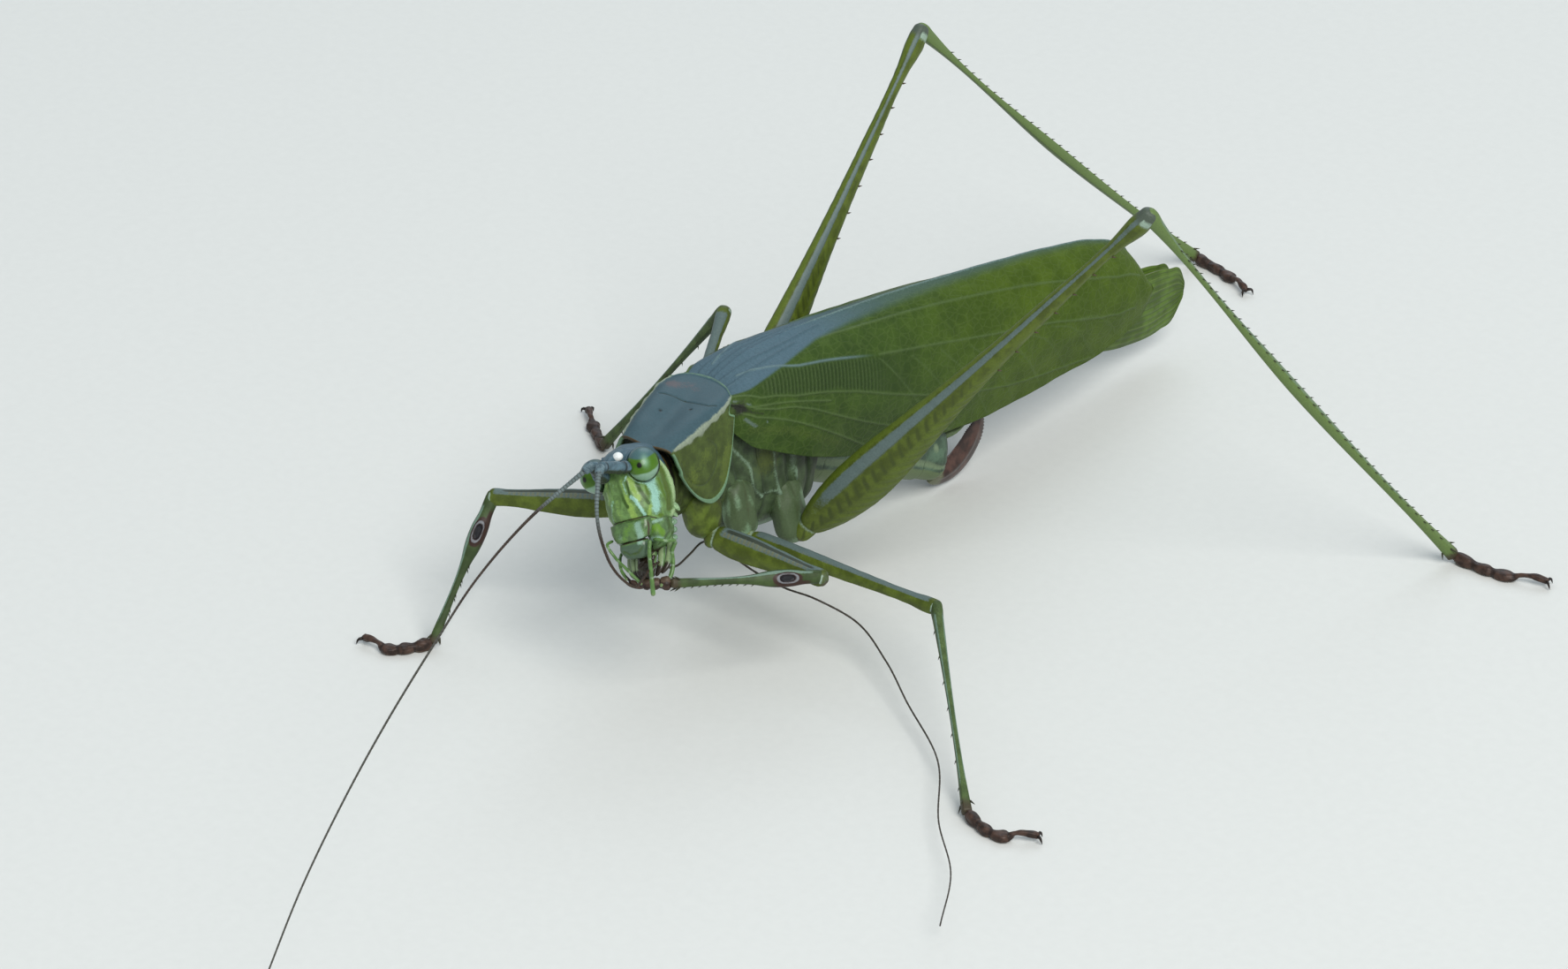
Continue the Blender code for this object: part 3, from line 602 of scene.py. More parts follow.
# The disc shade is a painted reflection: blue-grey laid over the flat top of the saddle for the
# sky.
pronotum_skin = cuticle(
    "pronotum skin", (0.050, 0.075, 0.014),
    (("disc", (0.038, 0.078, 0.096), 0), ("rose", (0.082, 0.078, 0.086), 0.9),
     ("seam", (0.026, 0.040, 0.034), 0.5), ("leaf", (0.080, 0.115, 0.018), 0.9),
     ("crest", (0.215, 0.255, 0.190), 0.6), ("rim", (0.125, 0.225, 0.130), 0.35),
     ("dot", (0.012, 0.014, 0.014), 0), ("gold", (0.060, 0.042, 0.018), 0.4)),
    cloud=0.5, grain=0.10, contrast=0.22, roughness=0.54, microns=8)
rows, columns = 154, 260
at = np.linspace(PRONOTUM_ROWS[0][0], PRONOTUM_ROWS[-1][0], rows)
q = np.linspace(-1, 1, columns)
saddle = np.zeros((rows, columns, 3))
shift = np.zeros((rows, columns))
for k, (y, line) in enumerate(zip(at, smooth(PRONOTUM_ROWS, at))):
    mid, crest_x, crest_z, side_x, side_z, foot_x, foot_z, lag = line
    half = smooth(((-CREST, -crest_x, crest_z), (0, 0, mid), (CREST, crest_x, crest_z),
                   (0.56, side_x, side_z), (1, foot_x, foot_z)), np.abs(q))
    saddle[k] = grid_of(half[:, 0] * np.sign(q), y, half[:, 1])
    shift[k] = lag * (half[:, 0] / foot_x) ** 2
share = np.linspace(0, 1, rows)[:, None]
away = np.abs(q)[None]
notch = 0.40 * bell(away, 0.52, 0.12) * step(share, 0.3, 1.0)   # over the wing's hinge
out = outward(saddle, around=False)
saddle[..., 1] += shift - notch
flat, lobe = saddle[..., :2], saddle[..., 1:]
ripple = waves(flat, 0.45, seed=11)
on_disc = step(-away, -CREST - 0.012, -CREST + 0.012)
crest = bell(away, CREST + 0.006, 0.023 + 0.006 * ripple) * step(share, 0.0, 0.08)
rim = np.maximum(np.maximum(step(away, 0.935, 0.955), step(share, 0.965, 0.985)),
                 step(-share, -0.030, -0.015) * step(away, CREST, 0.42))
sulcus = near(flat, SULCUS, 0.045) * on_disc
groove = near(lobe, route(LOBE_GROOVE, 60), 0.09) * (1 - on_disc)
dots = strokes(flat, (1, 0.075, (-0.52, -3.36)), (1, 0.075, (0.59, -2.60))) * on_disc
height = (0.075 * crest * (1 + 0.4 * ripple) + 0.05 * (rim - sulcus - groove - dots)
          + 0.012 * waves(flat, 0.9, seed=5))
saddle = saddle + out * height[..., None]
form = Form()
# disc: where the painted sky reflection lies, the flat top between the crests
form.sheet(
    saddle, saddle - out * PLATE, disc=on_disc,
    rose=strokes(flat, (1, 0.35, (-1.05, -1.25)), (0.6, 0.5, (-0.3, -0.9))) * on_disc,
    seam=0.75 * sulcus + 0.42 * groove + 0.35 * near(flat, ((0, -5.6), (0, 0.2)), 0.03),
    leaf=strokes(lobe, (1, 0.4, (-2.5, -2.9), (-1.9, -1.9)), (0.8, 0.5, (-4.5, -1.9)),
                 (0.7, 0.4, (-3.5, -1.4))) * (1 - on_disc),
    crest=crest * 1.15, rim=rim * (1 - 0.5 * on_disc), dot=dots,
    gold=step(-share, -0.014, -0.006) * on_disc)
seat(form.build("pronotum_saddle", pronotum_skin, PROTHORAX), "glaucous_back", "pronotum")

# ---------------------------------------------------------------- neck and fore chest
# The part of the chest that the saddle covers: a soft collar where the head turns, painted
# near-black as the shade under the saddle and behind the head, with a thin gold-brown edge, and
# olive plates below that carry the fore legs.

PROTHORAX_ROWS = (
    (-5.55, 1.05, -0.75, -3.60), (-4.90, 1.25, -0.70, -4.20), (-4.20, 1.40, -0.75, -4.90),
    (-3.20, 1.47, -0.80, -5.10), (-2.10, 1.42, -0.80, -4.95), (-0.60, 1.40, -0.90, -5.60))
neck_skin = cuticle(
    "neck skin", (0.052, 0.076, 0.015),
    (("dark", (0.010, 0.010, 0.007), 0.4), ("gold", (0.13, 0.085, 0.022), 0.4),
     ("pale", (0.13, 0.18, 0.06), 0.5)), cloud=0.5, contrast=0.4)
neck = trunk(PROTHORAX_ROWS, count=130, columns=160, power=2.3, taper=0.12)
side = neck[..., 1:]
y, z = side[..., 0], side[..., 1]
folds = bell(y * 3.2 % 1, 0.5, 0.16) * step(-y, 4.3, 4.7)
form = Form()
form.skin(push(neck, 0.03 * folds + 0.03 * waves(side, 1.0, seed=8)),
          # dark: painted shade, near-black over the top where the saddle covers it and at the
          # front behind the head, with a dark spot low at the front
          dark=(step(-y, 4.75, 5.15) * step(z, -2.8, -2.0) + step(z, -1.5, -1.2)
                + 0.8 * near(side, ((-3.95, -4.0),), 0.16)),
          gold=folds * step(z, -2.0, -1.0) * 0.7,
          pale=near(side, ((-3.0, -4.9), (-2.2, -4.3), (-1.4, -4.4)), 0.14))
seat(form.build("neck_and_fore_chest", neck_skin, PROTHORAX), "thorax_green", "prothorax")

# ---------------------------------------------------------------- head
# The hard capsule of the head, turned to the insect's left and dipped: pale green cheeks and
# brow in mottled stripes, with a pale bluish painted sheen below each eye, a crown and beak
# painted blue-grey for the sky's reflection, a small bead painted near-white as a glint, a raised
# ring round each eye and a sunk brown seam above the mouth. It moulds in one piece with the short
# beak between the feelers.

HEAD = axes_at((-3.7, -0.9, 10.1), (-16.6, -25.7, 18.2))
HEAD_ROWS = (
    # height, half width, front, back
    (1.50, 0.08, -2.05, -1.80), (1.42, 0.40, -2.45, -1.30), (1.22, 0.85, -3.00, -0.70),
    (0.80, 1.12, -3.35, -0.20), (0.20, 1.26, -3.45, 0.00), (-0.50, 1.36, -3.50, 0.00),
    (-1.20, 1.38, -3.55, -0.35), (-1.75, 1.28, -3.50, -0.70), (-2.05, 1.14, -3.40, -0.95),
    (-2.16, 0.82, -3.10, -1.30))
EYE_AT = (1.215, -2.89, 0.51)
EYE_HALF = (0.68, 0.82, 0.76)
SUTURE = ((0.00, -1.68), (0.92, -1.70), (1.32, -1.84), (1.60, -2.15), (2.04, -2.30), (2.5, -2.30))
HIND_RIM = ((2.00, 0.8), (2.30, 0.2), (2.36, -0.9), (2.12, -1.7), (1.80, -2.05))
BEAK = ((0, -2.3, 1.12), (0, -3.0, 1.13), (0, -3.6, 1.02), (0, -4.02, 0.86))
# A small raised bead between the eye and the beak, painted near-white as a glint of light.
GLINT_BEAD = ((0.08, -3.30, 1.14), (0.33, -3.38, 1.15), (0.58, -3.34, 1.08))
FLAPS = (   # the two small lobes of the cheek beside each jaw, and their breadth
    (((0.95, -1.45, -1.45), (1.24, -1.25, -1.72), (1.42, -1.22, -2.02)), 0.62),
    (((0.95, -1.45, -1.85), (1.14, -1.28, -2.08), (1.24, -1.25, -2.26)), 0.46))
# Of these shades, the blue-grey is a painted reflection of the sky on the crown and beak, the pale
# bluish one a painted sheen on the cheeks, and the near-white one a painted glint.
head_skin = cuticle(
    "head skin", (0.116, 0.212, 0.064),
    (("yellow", (0.215, 0.345, 0.075), 0.6), ("crown", (0.050, 0.098, 0.126), 0.4),
     ("moss", (0.036, 0.078, 0.012), 0.7), ("leaf", (0.074, 0.138, 0.012), 0.7),
     ("olive", (0.066, 0.108, 0.014), 0.6), ("milk", (0.255, 0.460, 0.375), 0.7),
     ("cream", (0.28, 0.40, 0.20), 0.5), ("seam", (0.040, 0.040, 0.016), 0.3),
     ("white", (0.74, 0.77, 0.76), 0)),
    cloud=0.35, grain=0.07, contrast=0.25, roughness=0.44, gloss=0.28, microns=5, coat=0.05)


def upright(rows, count, columns, power, full=1.0):
    """A body that stands up, through rows of (height, half width, front, back, shift if any)."""
    at = np.linspace(rows[0][0], rows[-1][0], count)
    across, ahead, _, shift = loft(rows, at, columns, power, full)
    return grid_of(across + (shift[0][:, None] if shift else 0), ahead, at[:, None])


capsule = upright(HEAD_ROWS, count=230, columns=320, power=2.4)
mirrored = np.abs(capsule * (1, 0, 0)) + capsule * (0, 1, 1)
reach = np.linalg.norm((mirrored - EYE_AT) / EYE_HALF, axis=-1)
orbit = bell(reach, 1.13, 0.075)
behind, height = mirrored[..., 1], mirrored[..., 2]
face = grid_of(mirrored[..., 0] + 0.467 * (behind + 3.5), height + 0.1 * (behind + 3.5))
forward = step(-behind, 1.2, 1.9)
seam = near(face, SUTURE, 0.035) * forward
cheek_seam = near(face, ((1.62, -0.45), (1.75, -1.2), (1.65, -1.9)), 0.045) * forward
brow = near(face, ((0.42, 0.45), (0.50, -0.4), (0.78, -1.55)), 0.07) * forward
socket = near(mirrored, ((0.60, -3.45, 0.62),), 0.30)
hind_rim = near(face, route(HIND_RIM, 30), 0.065)
full_face = forward * (0.45 + 0.55 * step(capsule[..., 0], -0.05, 0.15))
form = Form()
form.skin(
    push(capsule, 0.06 * orbit - 0.04 * seam - 0.02 * cheek_seam + 0.03 * brow - 0.10 * socket
         + 0.14 * hind_rim + 0.012 * waves(mirrored, 0.5, seed=3)),
    # crown: the top of the head and the upper rim of each eye, painted blue-grey for the sky's
    # reflection
    crown=(step(height + 0.55 * step(behind, -2.3, -1.5), 0.50, 0.85)
           + 0.5 * orbit * step(height, -0.2, 0.3)),
    yellow=full_face * strokes(
        face, (1, 0.17, (0.66, 0.05), (0.70, -0.45), (0.80, -0.85)),
        (0.9, 0.20, (0.24, -0.9), (0.34, -1.6)), (0.8, 0.14, (1.25, -1.3), (1.10, -1.62)),
        (0.6, 0.10, (0.22, 0.1), (0.24, -0.7))),
    moss=full_face * strokes(
        face, (1, 0.10, (0.00, 0.15), (0.02, -0.40), (0.05, -0.70), (0.16, -1.10)),
        (0.9, 0.07, (0.48, 0.02), (0.43, -0.45), (0.42, -0.72)),
        (1, 0.10, (0.92, -0.15), (0.98, -0.50), (1.10, -0.85), (1.20, -1.15))),
    leaf=forward * strokes(
        face, (1, 0.12, (1.36, -1.62), (1.62, -1.80)), (0.8, 0.09, (1.30, -0.25), (1.28, -0.75)),
        (0.7, 0.10, (1.98, -0.2), (2.02, -1.2))),
    olive=near(face, ((2.18, 0.35), (2.20, -0.9), (2.02, -1.6)), 0.13),
    # milk: a pale bluish painted sheen on the cheek below each eye, on a few strips down the face
    # and along the lower rim of each eye
    milk=full_face * np.clip(0.45 * orbit * step(-height, -0.4, 0.0) + strokes(
        face, (1, 0.23, (1.55, -0.15), (1.62, -0.75), (1.56, -1.20), (1.45, -1.50)),
        (1, 0.105, (0.48, -0.72), (0.62, -0.90), (0.74, -1.22), (0.86, -1.60)),
        (0.8, 0.05, (0.52, 0.22), (0.40, 0.06)), (0.6, 0.07, (0.28, 0.0), (0.27, -0.5))), 0, 1),
    cream=hind_rim + 0.6 * near(face, ((0.80, -0.30), (0.84, -0.62)), 0.08) * forward,
    seam=seam + 0.3 * cheek_seam)
share = np.linspace(0, 1, 40)
tip = np.sqrt(np.clip(1 - ((share - 0.88) / 0.122).clip(0) ** 2, 0, 1))
beak = tube(route(BEAK, 40), (0.95 - 0.55 * share) * tip, (0.62 - 0.22 * share) * tip,
            (0, 0, 1), 40, 2.4)
furrow = bell(2 * pi * np.arange(40) / 40, 0, 0.25)[None]     # along the top of the beak
# The beak takes the crown's painted sky reflection all over.
form.skin(push(beak, -0.05 * furrow), crown=1)
# The small bead painted near-white: a painted glint.
rod(form, GLINT_BEAD, 20, 0.44, 0.34, (0, -0.6, 1), 24, 0.5, 2.4, white=1)
for sign in (1, -1):
    for flap, breadth in FLAPS:
        size = breadth * (1 - 0.45 * np.linspace(0, 1, 30))
        rod(form, np.array(flap) * (sign, 1, 1), 30, size, 0.6 * size, (1, 0.2, 0.6), 24, 0.4,
            cream=0.55, milk=0.45)
seat(form.build("head_capsule", head_skin, HEAD), "face_green", "head")

# ---------------------------------------------------------------- eyes
# Two round swollen eyes of many small facets under one clear glossy skin: painted blue-grey above
# for the sky's reflection, a deep green belt with a black false pupil in it and a pale painted
# highlight beside it, and cream below, with a thin dark edge of painted shade round the outline.

SIDES = (("left", 1), ("right", -1))
# The painted highlight and the painted shade round each eye's outline are also laid out from this
# way.
LOOK = np.array((0.42, -0.90, 0.09))     # the way the belt and the pupil of both eyes face
PUPIL = np.array((0.27, -0.955, 0.06))
BELT_TOP = ((-1.0, 0.62), (-0.7, 0.58), (-0.5, 0.46), (-0.2, 0.34), (0.1, 0.28), (0.4, 0.28),
            (0.6, 0.34), (0.9, 0.46), (1.0, 0.5))
BELT_FOOT = ((-1.0, -0.15), (-0.78, -0.38), (-0.17, -0.54), (0.44, -0.52), (0.94, -0.20),
             (1.0, -0.1))
eye_skin = Finish("eye", gloss=0.25, coat=0.12, coat_roughness=0.12)
facet = eye_skin.cells(0.028)
haze = eye_skin.clouds(0.3, 2)
colour = (0.185, 0.305, 0.215)
# Of these shades, the blue-grey top is a painted sky reflection, the pale streak a painted
# highlight and the dark edge painted shade.
for name, shade in (("crown", (0.052, 0.112, 0.118)), ("belt", (0.052, 0.132, 0.006)),
                    ("deep", (0.024, 0.070, 0.003)), ("streak", (0.185, 0.330, 0.225)),
                    ("pupil", (0.002, 0.002, 0.002)), ("edge", (0.006, 0.014, 0.006))):
    colour = eye_skin.mix(eye_skin.mark(name), colour, shade)
eye_skin.put("Base Color", eye_skin.scale(colour, 0.8 + haze * 0.25 + facet * 0.3))
eye_skin.put("Roughness", 0.34)
eye_skin.relief(facet, 0.8)
for side, sign in SIDES:
    rows, columns = 90, 120
    lift = pi * (np.arange(rows) + 0.5)[:, None] / rows
    turn = 2 * pi * np.arange(columns) / columns
    ball = grid_of(np.cos(lift), -np.sin(lift) * np.cos(turn), np.sin(lift) * np.sin(turn))
    look = LOOK / np.linalg.norm(LOOK)
    right = np.cross((0, 0, 1), look)
    right /= np.linalg.norm(right)
    u, v = ball @ right, ball @ np.cross(look, right)
    upper, lower = (smooth(edge, u.ravel()).reshape(u.shape) for edge in (BELT_TOP, BELT_FOOT))
    belt = step(upper - v, -0.04, 0.06) * step(v - lower, -0.05, 0.06)
    outline = step(np.sqrt(np.clip(1 - (ball @ look) ** 2, 0, 1)), 0.92, 0.97)
    form = Form()
    form.skin((ball * EYE_HALF * 1.02 + EYE_AT) * (sign, 1, 1),
              # crown: the upper half, painted blue-grey for the sky's reflection
              crown=step(v, 0.0, 0.25), belt=belt,
              deep=belt * bell(u, -0.15, 0.22) * bell(v, 0, 0.25),
              pupil=step(ball @ (PUPIL / np.linalg.norm(PUPIL)), 0.984, 0.991),
              # streak: a painted highlight, a pale patch just right of the pupil on the side
              # facing the view
              streak=(0.8 * bell(u, 0.24, 0.20) * bell(v, 0.12, 0.34)
                      * step(ball @ look, -0.2, 0.25)),
              # edge: painted shade, a dark ring round the outline as seen along LOOK, heavier
              # below
              edge=outline * (0.4 + 0.6 * step(-v, -0.6, 0.1)))
    seat(form.build("eye_" + side + "_facets", eye_skin, HEAD), "eye_green", "eye_" + side)

# ---------------------------------------------------------------- mouthparts
# What closes the head below: the shield and the round upper lip, hard green jaws with brown
# biting edges at its sides, the lobes and lower lip behind them, and four jointed palps.

# The tip brown is near-black for the dark tips of the jaws and lobes and for the gullet, where it
# is also painted shade in the hollow of the mouth.
mouth_skin = cuticle(
    "mouth skin", (0.082, 0.158, 0.052),
    (("grey", (0.058, 0.104, 0.060), 0.5), ("cream", (0.22, 0.30, 0.15), 0.5),
     ("milk", (0.22, 0.36, 0.27), 0.6), ("moss", (0.042, 0.082, 0.016), 0.7),
     ("bright", (0.105, 0.225, 0.020), 0.6), ("seam", (0.050, 0.042, 0.022), 0.3),
     ("tip", (0.020, 0.014, 0.008), 0.7)),
    cloud=0.3, grain=0.06, contrast=0.25, roughness=0.34, gloss=0.4, microns=4, coat=0.15)
SHIELD_ROWS = (   # height, half width, front, back
    (-2.64, 0.74, -3.80, -3.1), (-2.45, 0.86, -3.84, -3.0), (-2.10, 0.96, -3.80, -3.0),
    (-1.70, 0.98, -3.66, -3.0))
LIP_ROWS = (
    (-3.46, 0.16, -3.62, -3.3), (-3.38, 0.40, -3.74, -3.2), (-3.15, 0.60, -3.88, -3.2),
    (-2.85, 0.70, -3.92, -3.2), (-2.58, 0.66, -3.84, -3.2))
form = Form()
for rows in (SHIELD_ROWS, LIP_ROWS):
    leaf = upright(rows, count=60, columns=96, power=3.0, full=round_ends(60, 0.10)[:, None])
    front = leaf[..., [0, 2]]
    across, down = leaf[..., 0], -leaf[..., 2]
    dent = near(front, ((-0.45, -2.95), (-0.2, -3.15), (0.2, -3.15), (0.45, -2.95)), 0.08)
    fold = near(front, ((0, -1.8), (0, -3.3)), 0.05)
    leaf = push(leaf, 0.02 * waves(front, 0.4, seed=31) - 0.03 * dent - 0.02 * fold)
    form.skin(leaf, milk=strokes(front, (1, 0.17, (0.50, -1.95), (0.52, -2.45)),
                                 (0.8, 0.16, (0.42, -2.68)), (0.5, 0.2, (-0.45, -2.3))),
              bright=0.5 * near(front, ((0.1, -1.9), (-0.3, -2.4)), 0.25),
              grey=step(down, 2.62, 2.80),
              # moss also darkens the insect's right side of the shield and lip: painted shade on
              # the side away from the light
              moss=(0.7 * dent + 0.5 * fold + 0.5 * step(down, 3.15, 3.45)
                    + 0.6 * step(-across, 0.35, 0.9)),
              seam=near(front, ((-1, -2.62), (1, -2.62)), 0.03)
              + near(front, ((0.97, -1.7), (0.93, -2.2), (0.80, -2.6)), 0.045)
              * step(-leaf[..., 1], 3.42, 3.60))
seat(form.build("shield_and_upper_lip", mouth_skin, HEAD), "face_green", "clypeus_labrum")

JAW_ROWS = (
    # height, half width, front, back, out
    (-3.55, 0.10, -2.65, -2.25, 0.34), (-3.40, 0.22, -2.80, -2.05, 0.46),
    (-3.10, 0.36, -2.98, -1.75, 0.64), (-2.75, 0.44, -3.08, -1.42, 0.74),
    (-2.40, 0.44, -3.12, -1.30, 0.76), (-1.95, 0.42, -3.15, -1.35, 0.78))
LOBES = (   # the soft feeding lobes behind each jaw, from the root to the dark tip
    ((0.86, -1.75, -2.75), (1.00, -2.35, -3.40), (0.86, -2.85, -4.05), (0.62, -3.1, -4.35)),
    ((0.62, -2.00, -2.85), (0.72, -2.70, -3.50), (0.58, -3.05, -4.10), (0.36, -3.2, -4.40)),
    ((0.30, -2.20, -2.95), (0.36, -2.90, -3.55), (0.28, -3.25, -4.10), (0.12, -3.3, -4.40)))
# The gullet: a dark brown mass in the hollow of the mouth behind the lobes, painted near-black as
# the shade there too.
SHADED_GULLET = ((0.05, -2.3, -3.0), (0.05, -2.95, -3.6), (0.05, -3.25, -4.05), (0.05, -3.35, -4.4))
for side, sign in SIDES:
    jaw = upright(JAW_ROWS, count=70, columns=84, power=2.6) * (sign, 1, 1)
    cheek = jaw[..., 1:]
    crease = near(cheek, ((-2.0, -2.0), (-2.3, -2.7), (-2.9, -3.1)), 0.07)
    form = Form()
    form.skin(push(jaw, 0.02 * waves(cheek, 0.5, seed=41) - 0.05 * crease),
              bright=near(cheek, ((-3.05, -2.30), (-2.80, -2.65)), 0.17),
              moss=0.7 * crease + 0.6 * near(cheek, ((-2.2, -2.2), (-2.0, -2.9)), 0.2),
              milk=strokes(cheek, (0.8, 0.10, (-3.1, -2.05), (-2.6, -2.05)),
                           (0.7, 0.12, (-3.1, -2.75), (-2.7, -3.0))),
              tip=step(-cheek[..., 1], 3.12, 3.35))
    for k in range(3):
        bead = np.array((sign * (1.08 - 0.10 * k), -1.48, -2.40 - 0.34 * k))
        rod(form, (bead - (0, 0.26, 0), bead, bead + (0, 0.20, 0)), 12, 0.36, 0.30, (0, 0, 1),
            16, 0.5, milk=0.55, cream=0.4)
    along = np.linspace(0, 1, 60)[:, None]
    bands = (1 + np.cos(2 * pi * np.arange(24) / 12))[None] / 2
    for lobe in LOBES:
        rod(form, np.array(lobe) * (sign, 1, 1), 60, 0.36, 0.26, (0, -0.5, 0.8), 24, 0.25,
            cream=bands, moss=0.5 * (1 - bands) * step(-along, -0.6, -0.3),
            tip=step(along, 0.66, 0.84))
    if sign > 0:
        full = round_ends(60, 0.3)
        shaded_throat = tube(route(SHADED_GULLET, 60), 0.86 * full, 0.55 * full, (0, -1, 0.2), 40)
        form.skin(push(shaded_throat, 0.05 * waves(shaded_throat, 0.18, seed=43)), tip=0.9,
                  moss=0.8 * step(waves(shaded_throat, 0.2, seed=44), -0.2, 0.5))
    seat(form.build("jaw_" + side, mouth_skin, HEAD), "face_green", "mandible_" + side)

PALPS = {
    "maxillary_palp_left": ((0.80, -3.30, -2.76), (1.35, -3.25, -2.98), (1.50, -2.70, -3.16),
                            (1.18, -2.60, -3.55), (1.04, -2.62, -4.13), (0.84, -2.90, -4.63),
                            (0.46, -3.30, -4.87)),
    "labial_palp_left": ((0.93, -3.85, -2.70), (0.78, -3.95, -3.22), (0.60, -3.95, -4.00),
                         (0.33, -3.92, -5.15)),
    "maxillary_palp_right": ((-1.12, -3.30, -2.40), (-1.15, -3.88, -2.48), (-0.94, -3.95, -3.03),
                             (-0.39, -4.20, -3.71), (0.12, -4.22, -4.52)),
    "labial_palp_right": ((-1.05, -2.30, -2.85), (-1.30, -2.75, -3.25), (-1.25, -3.10, -3.75),
                          (-0.95, -3.35, -4.25))}
palp_skin = cuticle(
    "palp skin", (0.086, 0.175, 0.045),
    (("joint", (0.15, 0.24, 0.12), 0.4), ("tip", (0.15, 0.22, 0.09), 0.4)),
    cloud=0.3, grain=0.05, contrast=0.2, roughness=0.38, gloss=0.4, microns=3, coat=0.1)

for name, points in PALPS.items():
    count = 110
    s = np.linspace(0, 1, count)
    joints = np.linspace(0, 1, len(points))[1:-1]
    size = ((0.21 if name.endswith("left") else 0.16) * (0.9 + 0.2 * s ** 3)
            * (1 - 0.2 * sum(bell(s, joint, 0.016) for joint in joints)))
    form = Form()
    rod(form, points, count, size, size * 0.92, (0.3, 0.2, 1), 20, 0.05,
        joint=sum(bell(s, joint, 0.02) for joint in joints)[:, None],
        tip=step(s, 0.9, 1.0)[:, None])
    seat(form.build(name.replace("palp", "feeler"), palp_skin, HEAD), "palp_green", name)

# ---------------------------------------------------------------- antennae
# The long horns: a stout grey root and a small second joint on each side of the beak, then a
# thread of over a hundred ringed joints, thin as a hair at its end. The left one is drawn down
# through the mouth, the right one reaches forward.

SCAPES = {"left": ((0.78, -3.50, 0.58), (0.66, -3.90, 0.68), (0.34, -5.22, 1.02)),
          "right": ((-0.60, -3.45, 0.45), (-0.42, -3.92, 0.48), (-0.12, -5.05, 1.20))}
LEFT_THREAD = (  # in the head's axes
    (0.36, -5.66, 0.72), (0.34, -6.15, 0.10), (0.22, -6.45, -0.60),
    (0.05, -6.50, -1.50), (-0.05, -6.35, -2.35), (-0.05, -6.15, -3.20), (0.05, -5.75, -3.90),
    (0.25, -5.10, -4.45), (0.40, -4.55, -4.25), (0.55, -3.80, -3.92), (0.62, -2.90, -3.85))
LEFT_TRAIL = (  # from under the jaws on, in the model's axes
    (-0.8, -2.9, 7.1), (-1.6, -1.5, 6.2), (-2.8, 0.6, 5.4), (-3.7, 2.4, 4.9), (-4.0, 3.3, 4.5),
    (-3.8, 4.2, 3.5), (-2.9, 4.7, 2.8), (-1.1, 4.9, 2.5), (0.9, 4.9, 2.7), (2.6, 5.6, 2.0),
    (5.4, 4.7, 1.4), (7.9, 3.3, 1.0), (11.9, 0.9, 0.8), (15.4, -2.9, 0.8), (18.4, -5.5, 0.9),
    (21.0, -9.1, 1.1))
RIGHT_THREAD = (  # in the model's axes
    (-3.45, -6.75, 11.6), (-3.4, -8.4, 11.2), (-3.1, -10.3, 10.8),
    (-2.5, -12.9, 10.2), (-0.9, -17.1, 9.4), (1.2, -22.0, 8.6), (3.9, -27.4, 7.9),
    (6.3, -31.7, 7.4), (9.1, -36.1, 7.0), (12.8, -41.6, 6.7), (15.6, -45.4, 6.6))
# The olive shade of the antenna root is a painted shadow on its underside.
scape_skin = cuticle(
    "antenna root skin", (0.068, 0.116, 0.142),
    (("olive", (0.026, 0.036, 0.022), 0.6), ("ring", (0.022, 0.030, 0.034), 0.3),
     ("pale", (0.22, 0.29, 0.30), 0.5)), cloud=0.3, grain=0.06, contrast=0.3, microns=7)
thread_skin = cuticle(
    "antenna thread skin", (0.040, 0.026, 0.018),
    (("root", (0.115, 0.150, 0.150), 0.2), ("middle", (0.060, 0.058, 0.045), 0.2),
     ("ring", (0.012, 0.008, 0.006), 0)), cloud=0.8, grain=0.05, contrast=0.25, microns=3)


def there(axes, point):
    """A point of some axes in the model's axes, in millimetres."""
    return np.array((axes @ (Vector(point) * MM)) / MM)


thread_starts = {}
for side, points in SCAPES.items():
    count = 90
    s = np.linspace(0, 1, count)
    line = route(points, count)
    size = (0.66 - 0.10 * s) * round_ends(count, 0.10) * (1 - 0.12 * bell(s, 0.22, 0.05))
    bar = tube(line, size, size * 0.9, (0, 0, 1), 40)
    above = bar[..., 2] - line[:, None, 2]
    form = Form()
    form.skin(push(bar, 0.02 * waves(bar, 0.3, seed=51)),
              ring=(bell(s, 0.22, 0.03) + bell(s, 0.90, 0.02))[:, None],
              # olive: painted shadow along the underside of each root
              olive=step(-above, 0.08, 0.25), pale=step(above, 0.16, 0.28) * 0.5)
    end = np.array(points[-1])
    on = np.array(LEFT_THREAD[0]) if side == "left" else there(HEAD.inverted(), RIGHT_THREAD[0])
    reach = (on - end) / np.linalg.norm(on - end)
    thread_starts[side] = there(HEAD, end + reach * 0.42)
    s = np.linspace(0, 1, 40)
    size = 0.48 * (1 - 0.25 * s)
    rod(form, (end - reach * 0.1, end + reach * 0.2, end + reach * 0.5), 40, size, size,
        (0.2, 0.1, 1), 28, 0.25, pale=0.4, ring=bell(s, 0.9, 0.05)[:, None])
    seat(form.build("antenna_root_" + side, scape_skin, HEAD), "glaucous_back", "scape_" + side)

